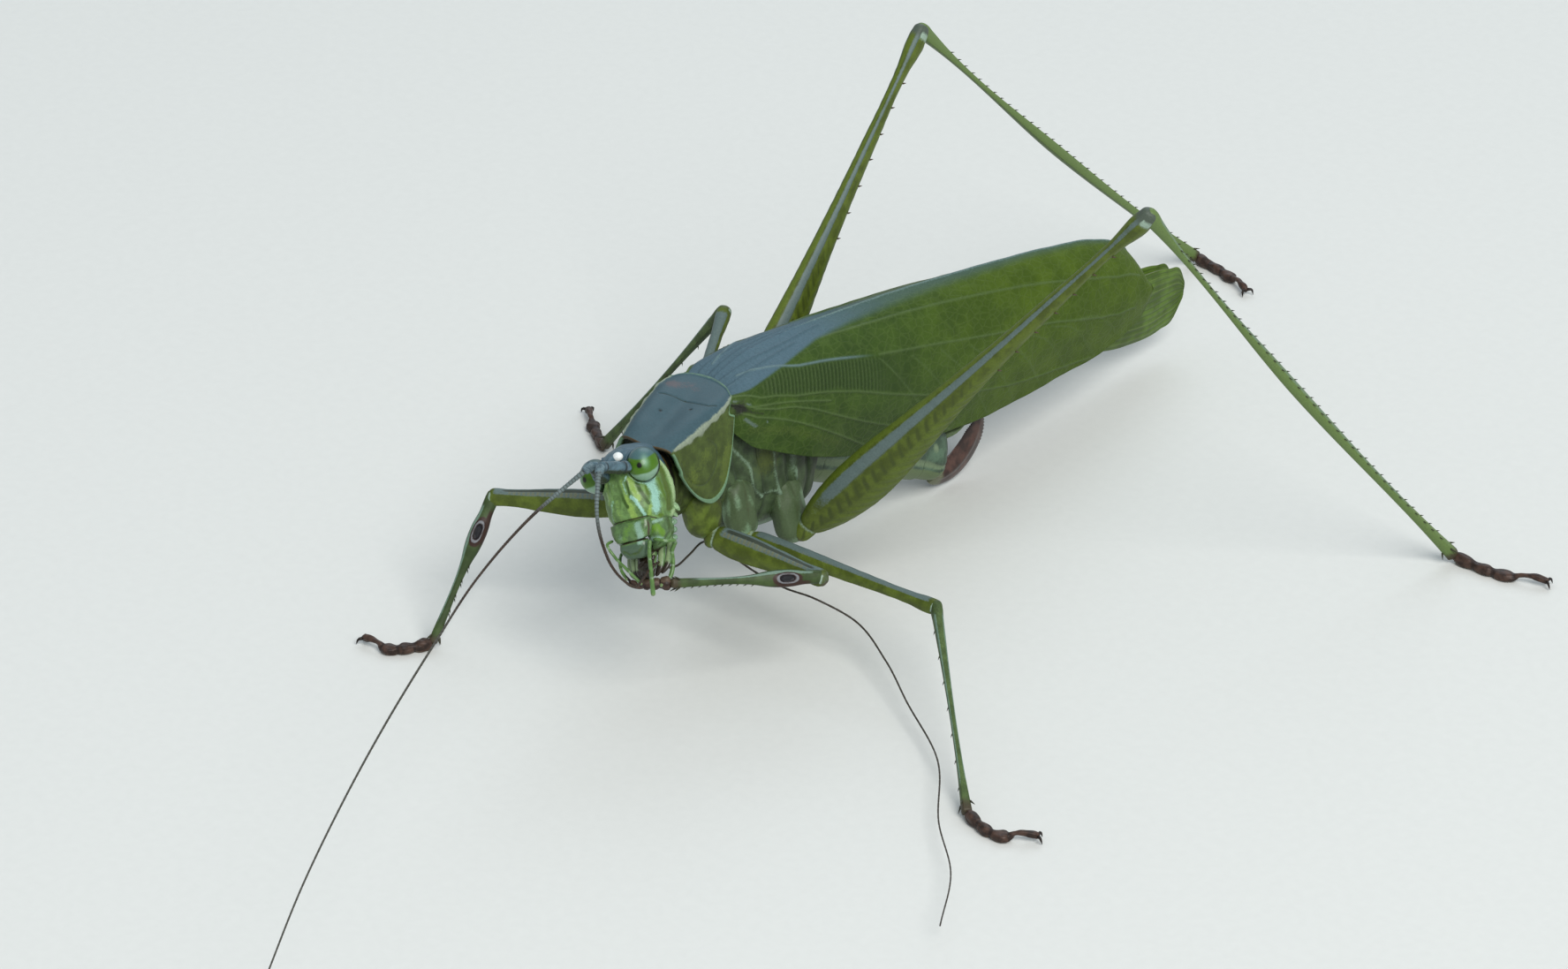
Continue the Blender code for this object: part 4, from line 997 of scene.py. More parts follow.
for side, points, nodes in (
        ("left", [*(there(HEAD, point) for point in LEFT_THREAD), *LEFT_TRAIL],
         ("base", "bend", "middle", "outer", "tip")),
        ("right", RIGHT_THREAD, ("base", "middle", "tip"))):
    count = 2600
    line = route([thread_starts[side], *points], count)
    length = lengths(line)[-1]
    run = np.linspace(0, length, count)
    joint = 0.16 + 0.30 * step(run, 2, 30)
    ring = bell(np.cumsum(np.gradient(run) / joint) % 1, 0.5, 0.12)
    size = ((0.120 + 0.14 * np.exp(-run / 2.2) - 0.05 * run / length) * (1 - 0.16 * ring)
            * round_ends(count, 0.001))
    form = Form()
    form.skin(tube(line, size, size, (0.3, 0.2, 1), 10),
              root=step(-run, -4.5, -0.5)[:, None], ring=0.7 * ring[:, None],
              middle=(step(run, 6, 14) * (0.5 + 0.5 * (side == "right")))[:, None])
    seat(form.build("antenna_thread_" + side, thread_skin), "antenna_brown",
         *("antenna_" + side + "_" + part for part in nodes))

# ---------------------------------------------------------------- fore wings
# Two leathery sheets folded against the sides and over the back, the left one lapping the right:
# painted blue-grey above for the sky's reflection and olive below, with raised veins, a comb of
# short cross veins darkened with painted shade, and a fine net.

WING_ROWS = (
    # along, ridge height, shoulder out and height, side out and height, lower edge out and height
    (-1.30, -0.70, 1.00, -0.78, 1.32, -0.95, 1.42, -1.25),
    (-0.30, -0.42, 1.22, -0.56, 1.60, -0.98, 1.72, -1.60),
    (0.30, -0.22, 1.50, -0.42, 1.96, -1.16, 2.08, -2.15),
    (0.80, 0.00, 1.66, -0.28, 2.18, -1.32, 2.30, -2.58),
    (2.00, 0.46, 1.66, -0.02, 2.34, -1.50, 2.48, -3.15),
    (4.50, 0.78, 1.40, 0.25, 2.55, -1.90, 2.75, -4.15),
    (8.50, 0.78, 0.95, 0.42, 2.72, -2.50, 2.65, -5.40),
    (13.4, 0.58, 0.75, 0.25, 2.70, -2.90, 2.45, -6.20),
    (18.0, 0.22, 0.65, -0.10, 2.45, -3.10, 2.15, -6.60),
    (23.5, -0.35, 0.58, -0.68, 2.05, -3.30, 1.80, -6.45),
    (27.3, -1.00, 0.58, -1.38, 1.78, -3.50, 1.62, -6.15),
    (29.2, -1.75, 0.62, -2.15, 1.62, -3.70, 1.52, -5.60),
    (30.3, -2.75, 0.75, -3.05, 1.48, -3.90, 1.42, -4.95),
    (30.68, -3.60, 0.95, -3.70, 1.40, -3.95, 1.38, -4.25))
# Marks on the sheet are placed by how far along it they are, in millimetres, and how far down
# from the ridge, 0, to the lower edge, 1.
BACK_EDGE = ((-1.3, 0.45), (1.2, 0.38), (3.15, 0.285), (4.6, 0.215), (6.2, 0.150), (8.8, 0.105),
             (11.7, 0.075), (16, 0.050), (22, 0.030), (31, 0.020))
PALE_VEIN = ((1.2, 0.17), (2.65, 0.234), (4.26, 0.297), (5.6, 0.305), (7.0, 0.318), (9.5, 0.35))
LONG_VEINS = (
    ((-0.5, 0.42), (0.8, 0.47), (3.76, 0.518), (6.5, 0.522), (9.4, 0.59), (12.5, 0.67),
     (20, 0.84), (26, 0.97)),
    ((0.0, 0.55), (1.9, 0.607), (3.6, 0.602), (6.5, 0.698), (10.5, 0.83), (15, 0.98)),
    ((0.9, 0.565), (3.64, 0.56), (5.8, 0.58)),
    ((0.4, 0.66), (3.5, 0.72), (6.6, 0.84), (9.5, 0.98)),
    ((9.5, 0.35), (15, 0.40), (22, 0.50), (29, 0.72)),
    ((6.5, 0.15), (13, 0.16), (21, 0.22), (29.6, 0.40)),
    ((0.5, 0.10), (4, 0.09), (7, 0.05)), ((0.5, 0.24), (2.5, 0.18), (5, 0.12)))
SIDE_VEINS = tuple(((y, 0.36 + 0.012 * (y - 8)), (y + 1.6, 0.60), (y + 4.2, 0.97))
                   for y in (9.5, 11.6, 13.7, 15.8, 17.9, 20.0, 22.1, 24.2))
COMB_STEP = 0.235
WING_THICK = 0.10
HINGE_FOLD = ((-0.8, 0.5), (0.9, 0.62), (1.5, 0.64))
FLECKS = ((((0.5, 0.72), (1.4, 0.80)), 0.08), (((0.2, 0.50), (0.9, 0.55)), 0.07),
          (((1.7, 0.72), (2.4, 0.80)), 0.06))
wing_skin = Finish("fore wing skin", gloss=0.12)
broad = wing_skin.clouds(1.2, 3)
fine = wing_skin.clouds(0.09, 2)
net = wing_skin.cells(0.36, "DISTANCE_TO_EDGE", (1, 0.7, 1))
threads_of_net = 1 - net.span(0.02, 0.13)
colour = wing_skin.mix(broad.span(0.3, 0.7), (0.029, 0.056, 0.011), (0.042, 0.078, 0.013))
rear_colour = wing_skin.mix(broad.span(0.3, 0.7), (0.042, 0.074, 0.006), (0.060, 0.100, 0.008))
colour = wing_skin.mix(wing_skin.mark("tail"), colour, rear_colour)
colour = wing_skin.mix(threads_of_net * 0.16, colour, (0.100, 0.150, 0.040))
# back, rear_back and back_vein lay a painted sky reflection, blue-grey, over the top field; deep
# is painted shade over the comb.
for name, shade, share in (
        ("deep", (0.017, 0.034, 0.010), 0.7), ("lane", (0.066, 0.096, 0.020), 0.7),
        ("vein", (0.080, 0.124, 0.044), 0.7),
        ("back", (0.066, 0.116, 0.146), 1.0), ("rear_back", (0.054, 0.094, 0.078), 1.0),
        ("back_vein", (0.046, 0.084, 0.104), 0.5), ("pale", (0.11, 0.17, 0.18), 0.9),
        ("ridge", (0.12, 0.18, 0.17), 0.9), ("fleck", (0.10, 0.14, 0.12), 0.8),
        ("dark", (0.016, 0.015, 0.016), 0.9)):
    mask = wing_skin.mark(name)
    if name in ("fleck", "dark", "lane", "ridge"):
        mask = (mask + (fine - 0.5) * 0.9).span(0.15, 0.95)
    colour = wing_skin.mix(mask * share, colour, shade)
wing_skin.put("Base Color", wing_skin.scale(colour, 0.76 + fine * 0.48))
wing_skin.put("Roughness", 0.42 + fine * 0.16)
wing_skin.relief(fine * 0.5 + threads_of_net, 9)
FINE_UNTIL = 10.4       # the rows lie closer as far back as the comb reaches
at = np.concatenate([np.linspace(WING_ROWS[0][0], FINE_UNTIL, 230, endpoint=False),
                     np.linspace(FINE_UNTIL, WING_ROWS[-1][0], 160)])
columns = 144
sections = smooth(WING_ROWS, at)
for side, sign, edge, lift in (("left", 1, -0.10, 0.05), ("right", -1, 0.03, -0.03)):
    sheet = np.zeros((len(at), columns, 3))
    arc = np.zeros(len(at))
    for k, (y, line) in enumerate(zip(at, sections)):
        ridge, shoulder_x, shoulder_z, side_x, side_z, low_x, low_z = line
        outline = route(((edge, 0, ridge + lift), (shoulder_x, 0, shoulder_z),
                         (side_x, 0, side_z), (low_x, 0, low_z)), columns)
        sheet[k] = outline * (sign, 1, 1) + (0, y, 0)
        arc[k] = lengths(outline)[-1]
    y, down = at[:, None], np.linspace(0, 1, columns)[None]
    flat = grid_of(y, down * arc[:, None])

    def traced(path, width):
        """A soft line over the sheet along a path of (along, share of the way down)."""
        corners = [(y, share * np.interp(y, at, arc)) for y, share in route(path, 14)]
        return near(flat, corners, width)

    def edge_of(path):
        """How far down a path lies at each row."""
        return np.interp(at, *zip(*path))[:, None]

    # The top field, above the back edge, carries the painted sky reflection.
    back_edge = edge_of(BACK_EDGE)
    fade = step(y, 4, 14)
    on_back = step(back_edge - down, -0.012 - 0.035 * fade, 0.016 + 0.035 * fade)
    rear = step(y, 5.0, 18)
    pale = traced(PALE_VEIN, 0.055) * step(-y, -9.5, -7.0)
    veins = sum(traced(path, 0.050) for path in LONG_VEINS)
    twigs = sum(traced(path, 0.045) for path in SIDE_VEINS)
    under_back = down - np.maximum(edge_of(PALE_VEIN), back_edge)
    over_vein = edge_of(LONG_VEINS[0]) - down
    comb = (bell((y + 1.5 * down) / COMB_STEP % 1, 0.5, 0.17) * step(under_back, 0.0, 0.03)
            * step(over_vein, 0.0, 0.02) * step(y, 1.5, 2.2) * step(-y, -10.2, -8.2))
    # deep: painted shade, darkening the comb zone between the pale vein and the first long vein
    deep = (step(under_back, -0.01, 0.04) * step(over_vein, -0.02, 0.04)
            * step(y, 0.8, 2.6) * step(-y, -13.0, -8.0))
    ridge_line = bell(down, 0, 0.012) * step(y, 3, 9)
    sheet = push(sheet, 0.055 * veins + 0.05 * pale + 0.032 * twigs + 0.040 * comb
                 + 0.03 * ridge_line + 0.02 * waves(flat, 2.2, seed=61), around=False)
    hinge = (0.35, 0.60 * np.interp(0.35, at, arc))
    flecks = sum(traced(path, width) for path, width in FLECKS)
    form = Form()
    form.sheet(
        sheet, sheet - outward(sheet, around=False) * WING_THICK,
        lane=traced(((0.8, 0.80), (3.5, 0.80), (6.6, 0.90)), 0.30) * 0.55,
        # deep is the painted shade over the comb zone
        tail=step(y, 8, 22), deep=deep,
        vein=np.clip(veins + 0.6 * twigs + 0.75 * comb, 0, 1) * (1 - on_back),
        back=on_back * (1 - rear), rear_back=on_back * rear,
        back_vein=np.clip(veins, 0, 1) * on_back, pale=pale, ridge=ridge_line,
        dark=0.9 * near(flat, (hinge,), 0.34) + 0.6 * traced(HINGE_FOLD, 0.09),
        fleck=0.9 * np.clip(flecks, 0, 1) * step(waves(flat, 0.35, seed=71), -0.4, 0.4))
    seat(form.build("fore_wing_" + side, wing_skin, BODY), "fore_wing_green", "tegmen_" + side)

# ---------------------------------------------------------------- hind wings
# Thin fans shut like a folded map between the fore wings. Only the stiff bright green tips stand
# out behind, closely pleated, each a little longer than its cover.

HINDWING_ROWS = (
    # along, upper and lower edge
    (8.0, -0.60, -1.25), (14.0, -0.95, -1.80), (18.0, -1.30, -3.80), (21.5, -1.75, -5.90),
    (27.0, -2.85, -6.90), (30.5, -3.80, -7.55), (33.2, -4.10, -7.45), (34.2, -4.45, -7.05),
    (34.65, -5.20, -6.20))
PLEATS = 11
hind_skin = cuticle(
    "hind wing skin", (0.066, 0.118, 0.013),
    (("fold", (0.035, 0.064, 0.008), 0.2), ("vein", (0.12, 0.180, 0.035), 0.3),
     ("edge", (0.095, 0.120, 0.045), 0.5)), cloud=1.0, grain=0.10, contrast=0.3, microns=6)
at = np.linspace(HINDWING_ROWS[0][0], HINDWING_ROWS[-1][0], 180)
top, bottom = smooth(HINDWING_ROWS, at).T
turn = 2 * pi * np.arange(240)[None] / 240
across, up = np.sin(turn), np.cos(turn)
z = between(top, bottom, up)
pleat = np.abs((up + 1) / 2 * PLEATS % 1 - 0.5) * 2
y = at[:, None]
out = 0.40 - 0.10 * step(y, 20, 30)
thick = 0.26 * step(-y, -34.7, -31.0) + 0.05
for side, sign in SIDES:
    blade = grid_of(sign * out + thick * across + 0.02 * sign * waves(grid_of(y, z), 3, seed=81),
                    y - 0.25 * (1 - sign) / 2, z)
    form = Form()
    form.skin(push(blade, 0.045 * (pleat - 0.5) * np.abs(across)),
              fold=step(-pleat, -0.25, 0.0) * 0.8, vein=step(pleat, 0.82, 1.0),
              edge=step(np.abs(up), 0.985, 0.999))
    seat(form.build("hind_wing_" + side, hind_skin, BODY), "hind_wing_green", "hindwing_" + side)

# ---------------------------------------------------------------- legs
# Each leg is a stout coxa, a small ring, a femur with a blue-grey stripe painted along its top for
# the sky's reflection and olive sides, a thin keeled tibia with spines and a paler painted sheen
# along its top, and a dark foot of four padded joints with two claws. The fore tibia has an oval
# ear on each face just below the knee.

HIPS = {"fore": (2.00, -3.25, -5.60), "mid": (2.40, 0.90, -7.05), "hind": (2.70, 4.20, -8.25)}
COXA_ROOTS = {"fore": (1.20, -3.10, -3.40), "mid": (1.35, 1.05, -4.70),
              "hind": (1.45, 4.20, -5.60)}
COXA_LAP = 0.3
COXA_PROFILES = {       # share of the length, width, height
    "fore": ((0, 1.20, 1.45), (0.3, 1.42, 1.75), (0.6, 1.42, 1.80), (0.85, 1.22, 1.50),
             (1, 0.85, 1.05)),
    "mid": ((0, 1.20, 1.50), (0.3, 1.36, 1.72), (0.6, 1.30, 1.66), (0.85, 1.08, 1.35),
            (1, 0.80, 0.95)),
    "hind": ((0, 1.20, 1.55), (0.3, 1.40, 1.80), (0.6, 1.34, 1.75), (0.85, 1.10, 1.45),
             (1, 0.80, 0.95))}
FEMUR_PROFILES = {      # share of the way from the hip to just past the knee, width, height
    "fore": ((0, 0.80, 1.05), (0.04, 0.86, 1.16), (0.085, 0.78, 1.08), (0.13, 0.78, 1.16),
             (0.29, 0.80, 1.30), (0.58, 0.72, 1.08), (0.84, 0.62, 0.78), (0.955, 0.66, 0.80),
             (1, 0.60, 0.72)),
    "mid": ((0, 0.56, 0.66), (0.03, 0.68, 0.78), (0.05, 0.54, 0.64), (0.08, 0.60, 0.76),
            (0.20, 0.66, 0.84), (0.52, 0.58, 0.68), (0.85, 0.54, 0.57), (0.97, 0.64, 0.70),
            (1, 0.56, 0.62)),
    "hind": ((0, 0.66, 0.80), (0.018, 0.84, 0.98), (0.036, 0.74, 1.10), (0.055, 0.84, 1.55),
             (0.087, 1.02, 2.10), (0.143, 1.20, 2.60), (0.23, 1.25, 2.65), (0.325, 1.12, 2.20),
             (0.44, 0.92, 1.58), (0.57, 0.74, 1.06), (0.725, 0.58, 0.74), (0.90, 0.54, 0.60),
             (0.965, 0.74, 0.94), (1, 0.62, 0.74))}
TIBIA_PROFILES = {      # the same, from just inside the knee to the ankle
    "fore": ((0, 0.44, 0.56), (0.05, 0.52, 0.62), (0.15, 0.56, 0.62), (0.24, 0.72, 0.78),
             (0.36, 0.66, 0.74), (0.46, 0.48, 0.50), (1, 0.42, 0.42)),
    "mid": ((0, 0.42, 0.56), (0.03, 0.52, 0.64), (0.09, 0.48, 0.54), (0.95, 0.44, 0.46),
            (1, 0.50, 0.52)),
    "hind": ((0, 0.46, 0.60), (0.015, 0.60, 0.74), (0.04, 0.50, 0.60), (0.5, 0.46, 0.50),
             (0.97, 0.48, 0.54), (1, 0.56, 0.62))}
FOOT_PROFILE = (        # share of the length, width, top and bottom above the sole
    (0.00, 0.30, 0.54, 0.14), (0.05, 0.44, 0.60, 0.04), (0.18, 0.48, 0.54, 0.00),
    (0.245, 0.38, 0.46, 0.06), (0.29, 0.44, 0.47, 0.00), (0.40, 0.52, 0.48, 0.00),
    (0.455, 0.38, 0.43, 0.06), (0.50, 0.52, 0.44, 0.00), (0.60, 0.68, 0.44, 0.00),
    (0.665, 0.42, 0.43, 0.10), (0.70, 0.26, 0.48, 0.24), (0.82, 0.26, 0.56, 0.32),
    (0.93, 0.34, 0.54, 0.20), (1.00, 0.22, 0.42, 0.16))
FEET = {  # ankle, ball and claws on the floor
    "fore_right": ((-11.80, -6.90), (-12.95, -8.45), (-14.50, -8.70)),
    "mid_left": ((15.30, -0.95), (17.20, -1.25), (18.75, -0.10)),
    "mid_right": ((-18.70, 11.20), (-20.25, 12.20), (-21.85, 13.35)),
    "hind_left": ((17.30, 30.80), (19.50, 31.00), (21.90, 32.00)),
    "hind_right": ((-10.30, 45.25), (-8.30, 45.05), (-6.20, 44.30))}
RAISED_FOOT = ((0.85, -3.05, -4.55), (0.05, -3.25, -4.48), (-0.80, -3.60, -4.05))  # head's axes
ANKLE_HEIGHT = 0.35
FEMUR_SHORT = 0.2
TIBIA_START = 0.72
SPINES = {"fore": 5, "mid": 7, "hind": 34}   # in each row on the tibia
HIND_FEMUR_SPINES = 7
# The painted sky sheen along the tops of the fore and mid legs faces this way.
SKYWARD = np.array((-0.34, 0.37, 0.87))   # the way the stripes of the four shorter legs face
BEADS = {"fore": 1.0, "mid": 0.4, "hind": 0.0}   # how strong the beads on the femur are
BRIGHTNESS = {"fore": 0.0, "mid": 0.4, "hind": 1.0}   # and the bright green of the tibia
FOOT_SIDES = 40
FOOT_JOINTS = (0.245, 0.455, 0.668)
SPUR_RING = 12          # the rings from a tibia's end to its end spurs
KNEE_REACH = 0.28       # how far past the knee's middle the femur ends, and the tibia starts
SHIN_REACH = 0.22
CHEVRON_STEP = 0.62     # from one herringbone mark to the next on the hind femur
BEAD_STEP = 0.22
EAR_AT = 2.02           # down the tibia from its start, with half its length and breadth
EAR_HALF = (0.47, 0.18)
EAR_GIRTH = 0.80        # how thick the tibia is there
coxa_skin = cuticle(
    "coxa skin", (0.070, 0.102, 0.013),
    (("grey", (0.056, 0.086, 0.038), 0.5), ("pale", (0.135, 0.215, 0.125), 0.4),
     ("seam", (0.034, 0.036, 0.012), 0.5)), cloud=0.5, contrast=0.35, microns=8)
# The stripe shade of the femur is a painted sky reflection along its top.
femur_skin = cuticle(
    "femur skin", (0.068, 0.096, 0.010),
    (("dapple", (0.042, 0.060, 0.008), 0.8), ("leaf", (0.086, 0.124, 0.012), 0.4),
     ("stripe", (0.092, 0.132, 0.126), 0.7), ("line", (0.036, 0.046, 0.034), 0.5),
     ("bead", (0.125, 0.140, 0.092), 0.9), ("knee", (0.066, 0.086, 0.066), 0.6),
     ("ring", (0.25, 0.34, 0.27), 0.5),
     ("brown", (0.060, 0.040, 0.024), 0.6)), cloud=0.6, grain=0.08, contrast=0.25, microns=6)
# The stripe shade of the tibia is a paler painted sky sheen along its top.
tibia_skin = cuticle(
    "tibia skin", (0.038, 0.064, 0.018),
    (("bright", (0.110, 0.170, 0.050), 0.3), ("stripe", (0.130, 0.200, 0.155), 0.5),
     ("foot", (0.050, 0.040, 0.022), 0.6), ("surround", (0.034, 0.016, 0.011), 0.5),
     ("ring", (0.17, 0.175, 0.19), 0.3), ("hole", (0.006, 0.006, 0.009), 0),
     ("spine", (0.028, 0.022, 0.012), 0)),
    cloud=0.6, grain=0.07, contrast=0.25, microns=5)
foot_skin = cuticle(
    "foot skin", (0.044, 0.024, 0.017),
    (("pad", (0.085, 0.058, 0.038), 0.6), ("joint", (0.020, 0.011, 0.008), 0.4),
     ("claw", (0.012, 0.007, 0.005), 0)), cloud=0.3, grain=0.06, contrast=0.5, microns=8)


def ends(node, first):
    """The middle of both ends of a CAD limb, the one nearer to a given point first."""
    points = np.array([vertex.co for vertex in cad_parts[node].data.vertices]) / MM
    middle = points.mean(axis=0)
    axis = np.linalg.svd(points - middle, full_matrices=False)[2][0]
    along = (points - middle) @ axis
    both = [points[along < along.min() + 0.15].mean(axis=0),
            points[along > along.max() - 0.15].mean(axis=0)]
    return sorted(both, key=lambda end: np.linalg.norm(end - first))


def unit(vector):
    return vector / np.linalg.norm(vector)


def from_top(sides):
    """Each column's angle from the top of a limb, in degrees, the same down both its faces."""
    angle = 360 * np.arange(sides) / sides
    return np.minimum(angle, 360 - angle)[None]


def limb(start, end, profile, up, power, sides, count, belly=0.0, bow=0.0):
    """A limb between two points: its rings, the share and length to each, and each angle."""
    s = np.linspace(0, 1, count)
    width, height = smooth(profile, s).T
    length = np.linalg.norm(end - start)
    cap = np.clip(np.minimum(s, 1 - s) * length / (0.35 * height), 0, 1)
    full = np.sqrt(np.clip(1 - (1 - cap) ** 2, 0.0025, 1))
    axis = unit(end - start)
    stand = unit(up - (up @ axis) * axis)
    sag = np.outer(belly * height + bow * np.sin(pi * s), stand)
    rings = tube(start + np.outer(s, end - start) - sag, width * full, height * full, up,
                 sides, power)
    return rings, s[:, None], s[:, None] * length, from_top(sides)


def band(angle, low, high, soft=7):
    """1 between two angles round a limb, with soft edges."""
    return step(angle, low - soft, low + soft) * step(-angle, -high - soft, -high + soft)


def spine(form, rings, at, angle, out, ahead, width, **marks):
    """A spine on one ring of a limb, at an angle from its top, leaning ahead."""
    base = rings[at, round(angle / 360 * rings.shape[1]) % rings.shape[1]]
    cone(form, base, base + unit(base - rings[at].mean(axis=0)) * out + ahead, width, **marks)


for leg in ("fore_left", "fore_right", "mid_left", "mid_right", "hind_left", "hind_right"):
    pair, side = leg.split("_")
    fore, hind = pair == "fore", pair == "hind"
    mirror = np.array((1 if side == "left" else -1, 1, 1))
    carrier = PROTHORAX if fore else BODY
    hip = there(carrier, HIPS[pair] * mirror)
    root = there(carrier, COXA_ROOTS[pair] * mirror)
    if leg in FEET:
        foot = [np.array((x, y, 0.0)) for x, y in FEET[leg]]
        sole_up = np.array((0.0, 0.0, 1.0))
    else:
        foot = [there(HEAD, point) for point in RAISED_FOOT]
        sole_up = unit(np.array(HEAD.to_3x3() @ Vector((0, 0.3, -1))))
    ankle = foot[0] + sole_up * ANKLE_HEIGHT
    femur_far = ends(leg + "_femur", hip)[1]
    tibia_near = ends(leg + "_tibia", femur_far)[0]
    knee = (femur_far + unit(femur_far - hip) * FEMUR_SHORT
            + tibia_near - unit(ankle - tibia_near) * TIBIA_START) / 2
    thigh, shin = unit(knee - hip), unit(ankle - knee)
    dorsal = unit(thigh - shin) if hind else SKYWARD

    # The coxa, with a sunk crease down the outer face of the last four.
    coxa, s, run, angle = limb(root, hip + unit(hip - root) * COXA_LAP, COXA_PROFILES[pair],
                               np.array((0, 1, 0.1)), power=2.3, sides=64, count=60)
    crease = 0 if fore else bell(angle, 90, 7) * step(-s, -0.8, -0.6)
    mottle = waves(coxa * (1, 1, 0.4), 0.5, seed=92)
    form = Form()
    form.skin(push(coxa, 0.05 * waves(coxa, 0.8, seed=91) + 0.02 * mottle - 0.05 * crease),
              seam=0.6 * step(mottle, 0.6, 1.0) if fore else 0.45 * crease,
              pale=step(s, 0.82, 0.95) * 0.5 + (0 if fore else 0.75 * step(mottle, -0.5, 1.3)),
              grey=0 if fore else 0.9)
    seat(form.build(leg + "_coxa_plate", coxa_skin), "thorax_green", leg + "_coxa")

    # The small ring at the hip and the femur, in one piece out to the knob of the knee.
    femur, s, run, angle = limb(hip, knee + thigh * KNEE_REACH, FEMUR_PROFILES[pair], dorsal,
                                power=2.3, sides=72, count=320 if hind else 150, belly=0.1)
    knob = step(s, 0.955, 0.985)
    waist = bell(run, 0.92 if hind else 0.58, 0.09)
    keel = (bell(angle, 152, 9) - 0.8 * bell(angle, 180, 12)) * step(s, 0.1, 0.2) * (1 - knob)
    if hind:
        chevron = (run - 0.018 * np.abs(angle - 100)) / CHEVRON_STEP % 1
        scale = bell(chevron, 0.5, 0.22) * band(angle, 68, 150) * step(-s, -0.62, -0.42)
        # the painted sky sheen along the top
        stripe = band(angle, 24, 60) * step(s, 0.05, 0.16) * (0.75 + 0.25 * step(-s, -0.9, -0.5))
        line = band(angle, 58, 64, 3) * step(s, 0.1, 0.2) * 0.5
    else:
        scale = 0
        # the painted sky sheen along the top
        stripe = (band(angle, -10, 74 if fore else 66)
                  * step(run, 0.7, 1.1) * step(-s, -0.97, -0.93))
        line = (band(angle, 20, 48, 6) * (1.0 if fore else 0.25)
                * step(run, 0.9, 1.3) * step(-s, -0.93, -0.85))
    femur = push(femur, 0.035 * keel - 0.03 * line - 0.02 * scale - 0.05 * waist
                 + 0.03 * knob * bell(angle, 100, 30) + 0.006 * waves(femur, 0.5, seed=93))
    form = Form()
    form.skin(femur, dapple=scale, stripe=stripe, line=line, knee=knob * (0.9 if hind else 0.5),
              leaf=(np.clip(band(angle, 95, 150) * 0.6 + bell(angle, 0, 18), 0, 1)
                    * (1.0 if hind else 0.35)),
              bead=(BEADS[pair] * band(angle, 46, 72, 5) * step(run, 0.8, 1.2)
                    * (0.65 + 0.35 * np.cos(2 * pi * run / BEAD_STEP)) * step(-s, -0.9, -0.8)),
              ring=waist * 0.6 + bell(s, 0.975, 0.008) * band(angle, 60, 130) * 0.9,
              brown=bell(run, 0.2, 0.15) * 0.5 + knob * band(angle, 130, 180) * 0.6)
    for k in range(HIND_FEMUR_SPINES if hind else 0):
        for face in (1, -1):
            spine(form, femur, int((0.55 + 0.055 * k) * (len(femur) - 1)), 150 * face, 0.16,
                  thigh * 0.12, 0.09, brown=0.9)
    seat(form.build(leg + "_femur_skin", femur_skin), "femur_green", leg + "_femur")

    # The tibia, with the ear on both faces of the fore ones, rows of spines and four end spurs.
    tibia, s, run, angle = limb(knee - shin * SHIN_REACH, ankle + shin * 0.05,
                                TIBIA_PROFILES[pair], dorsal, power=2.6, sides=48,
                                count=420 if hind else 220, bow=0.35 if hind else 0.0)
    lift = 0.022 * (bell(angle, 38, 9) + bell(angle, 142, 9)) * step(run, 0.7, 1.2)
    marks = {}
    if fore:
        girth = (angle - 90) / 360 * pi * EAR_GIRTH
        ear = np.sqrt(((run - EAR_AT) / EAR_HALF[0]) ** 2 + (girth / EAR_HALF[1]) ** 2)
        marks = {"ring": bell(ear, 1, 0.17), "hole": step(-ear, -0.88, -0.70),
                 "surround": step(-ear, -1.75, -1.35)
                 + np.exp(-((run - 1.75) / 0.95) ** 4) * step(angle, 96, 118)}
        lift = lift * step(ear, 1.2, 2.0) + 0.04 * marks["ring"] - 0.10 * marks["hole"]
    tibia = push(tibia, lift)
    form = Form()
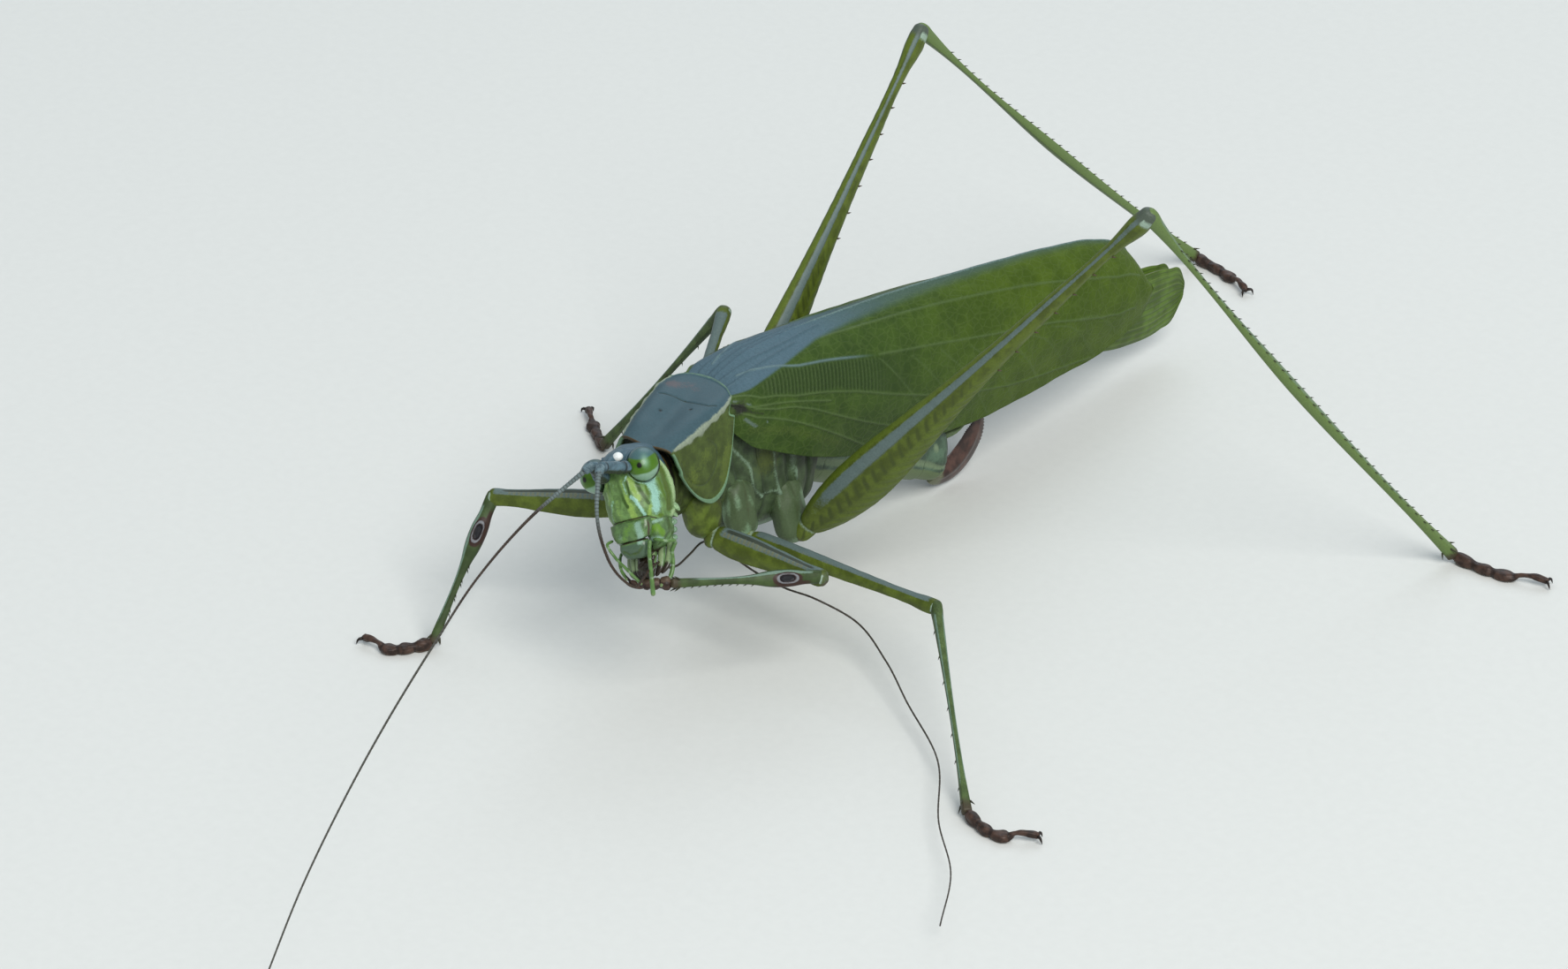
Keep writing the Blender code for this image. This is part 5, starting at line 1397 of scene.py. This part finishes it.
    # the painted sky sheen along the top of the tibia
    stripe = 0.5 * band(angle, -10, 34, 6) if hind else 0.8 * band(angle, 28, 62, 6)
    form.skin(tibia, stripe=stripe * step(run, 0.5, 1.0) * step(-s, -0.93, -0.8),
              bright=BRIGHTNESS[pair], foot=step(s, 0.965 if hind else 0.90, 1.0), **marks)
    first, spread_over, stagger = (0.48, 0.48, 0.3) if fore else (0.10, 0.86, 0.25)
    for k in range(SPINES[pair]):
        for face in (1, -1):
            share = first + spread_over * (k + stagger * (face > 0)) / SPINES[pair]
            spine(form, tibia, int(share * (len(tibia) - 1)), (38 if hind else 142) * face, 0.11,
                  shin * 0.16, 0.06, spine=0.7)
    for angle in (45, 142.5, -45, -142.5):
        spine(form, tibia, len(tibia) - SPUR_RING, angle, 0.22, shin * 0.30, 0.10, spine=0.8)
    seat(form.build(leg + "_tibia_skin", tibia_skin), "tibia_green", leg + "_tibia")

    # The foot: four padded joints and two bowed claws.
    count = 260
    line = route(foot, count)
    s = np.linspace(0, 1, count)[:, None]
    width, top, bottom = smooth(FOOT_PROFILE, s[:, 0]).T
    full = round_ends(count, 0.02)
    tarsus = tube(line + np.outer((top + bottom) / 2, sole_up), width * full,
                  (top - bottom) * full, sole_up, FOOT_SIDES, 2.4)
    angle = from_top(FOOT_SIDES)
    split = bell(angle, 180, 16) * step(-s, -0.66, -0.6) * (sole_up[2] > 0.9)
    form = Form()
    form.skin(push(tarsus, 0.02 * waves(tarsus, 0.25, seed=95) + 0.05 * split),
              joint=sum(bell(s, joint, 0.02) for joint in FOOT_JOINTS),
              pad=step(angle, 105, 130) * step(-s, -0.68, -0.62) * 0.9)
    ahead = unit(line[-1] - line[-30])
    beside = np.cross(ahead, sole_up)
    for turn in (1, -1):
        base = line[-6] + sole_up * 0.32 + beside * 0.07 * turn
        cone(form, base, line[-1] + ahead * 0.12 + beside * 0.30 * turn + sole_up * 0.05, 0.17,
             sole_up * 0.14 + beside * 0.06 * turn, claw=1)
    seat(form.build(leg + "_foot", foot_skin), "foot_brown", leg + "_tarsus")
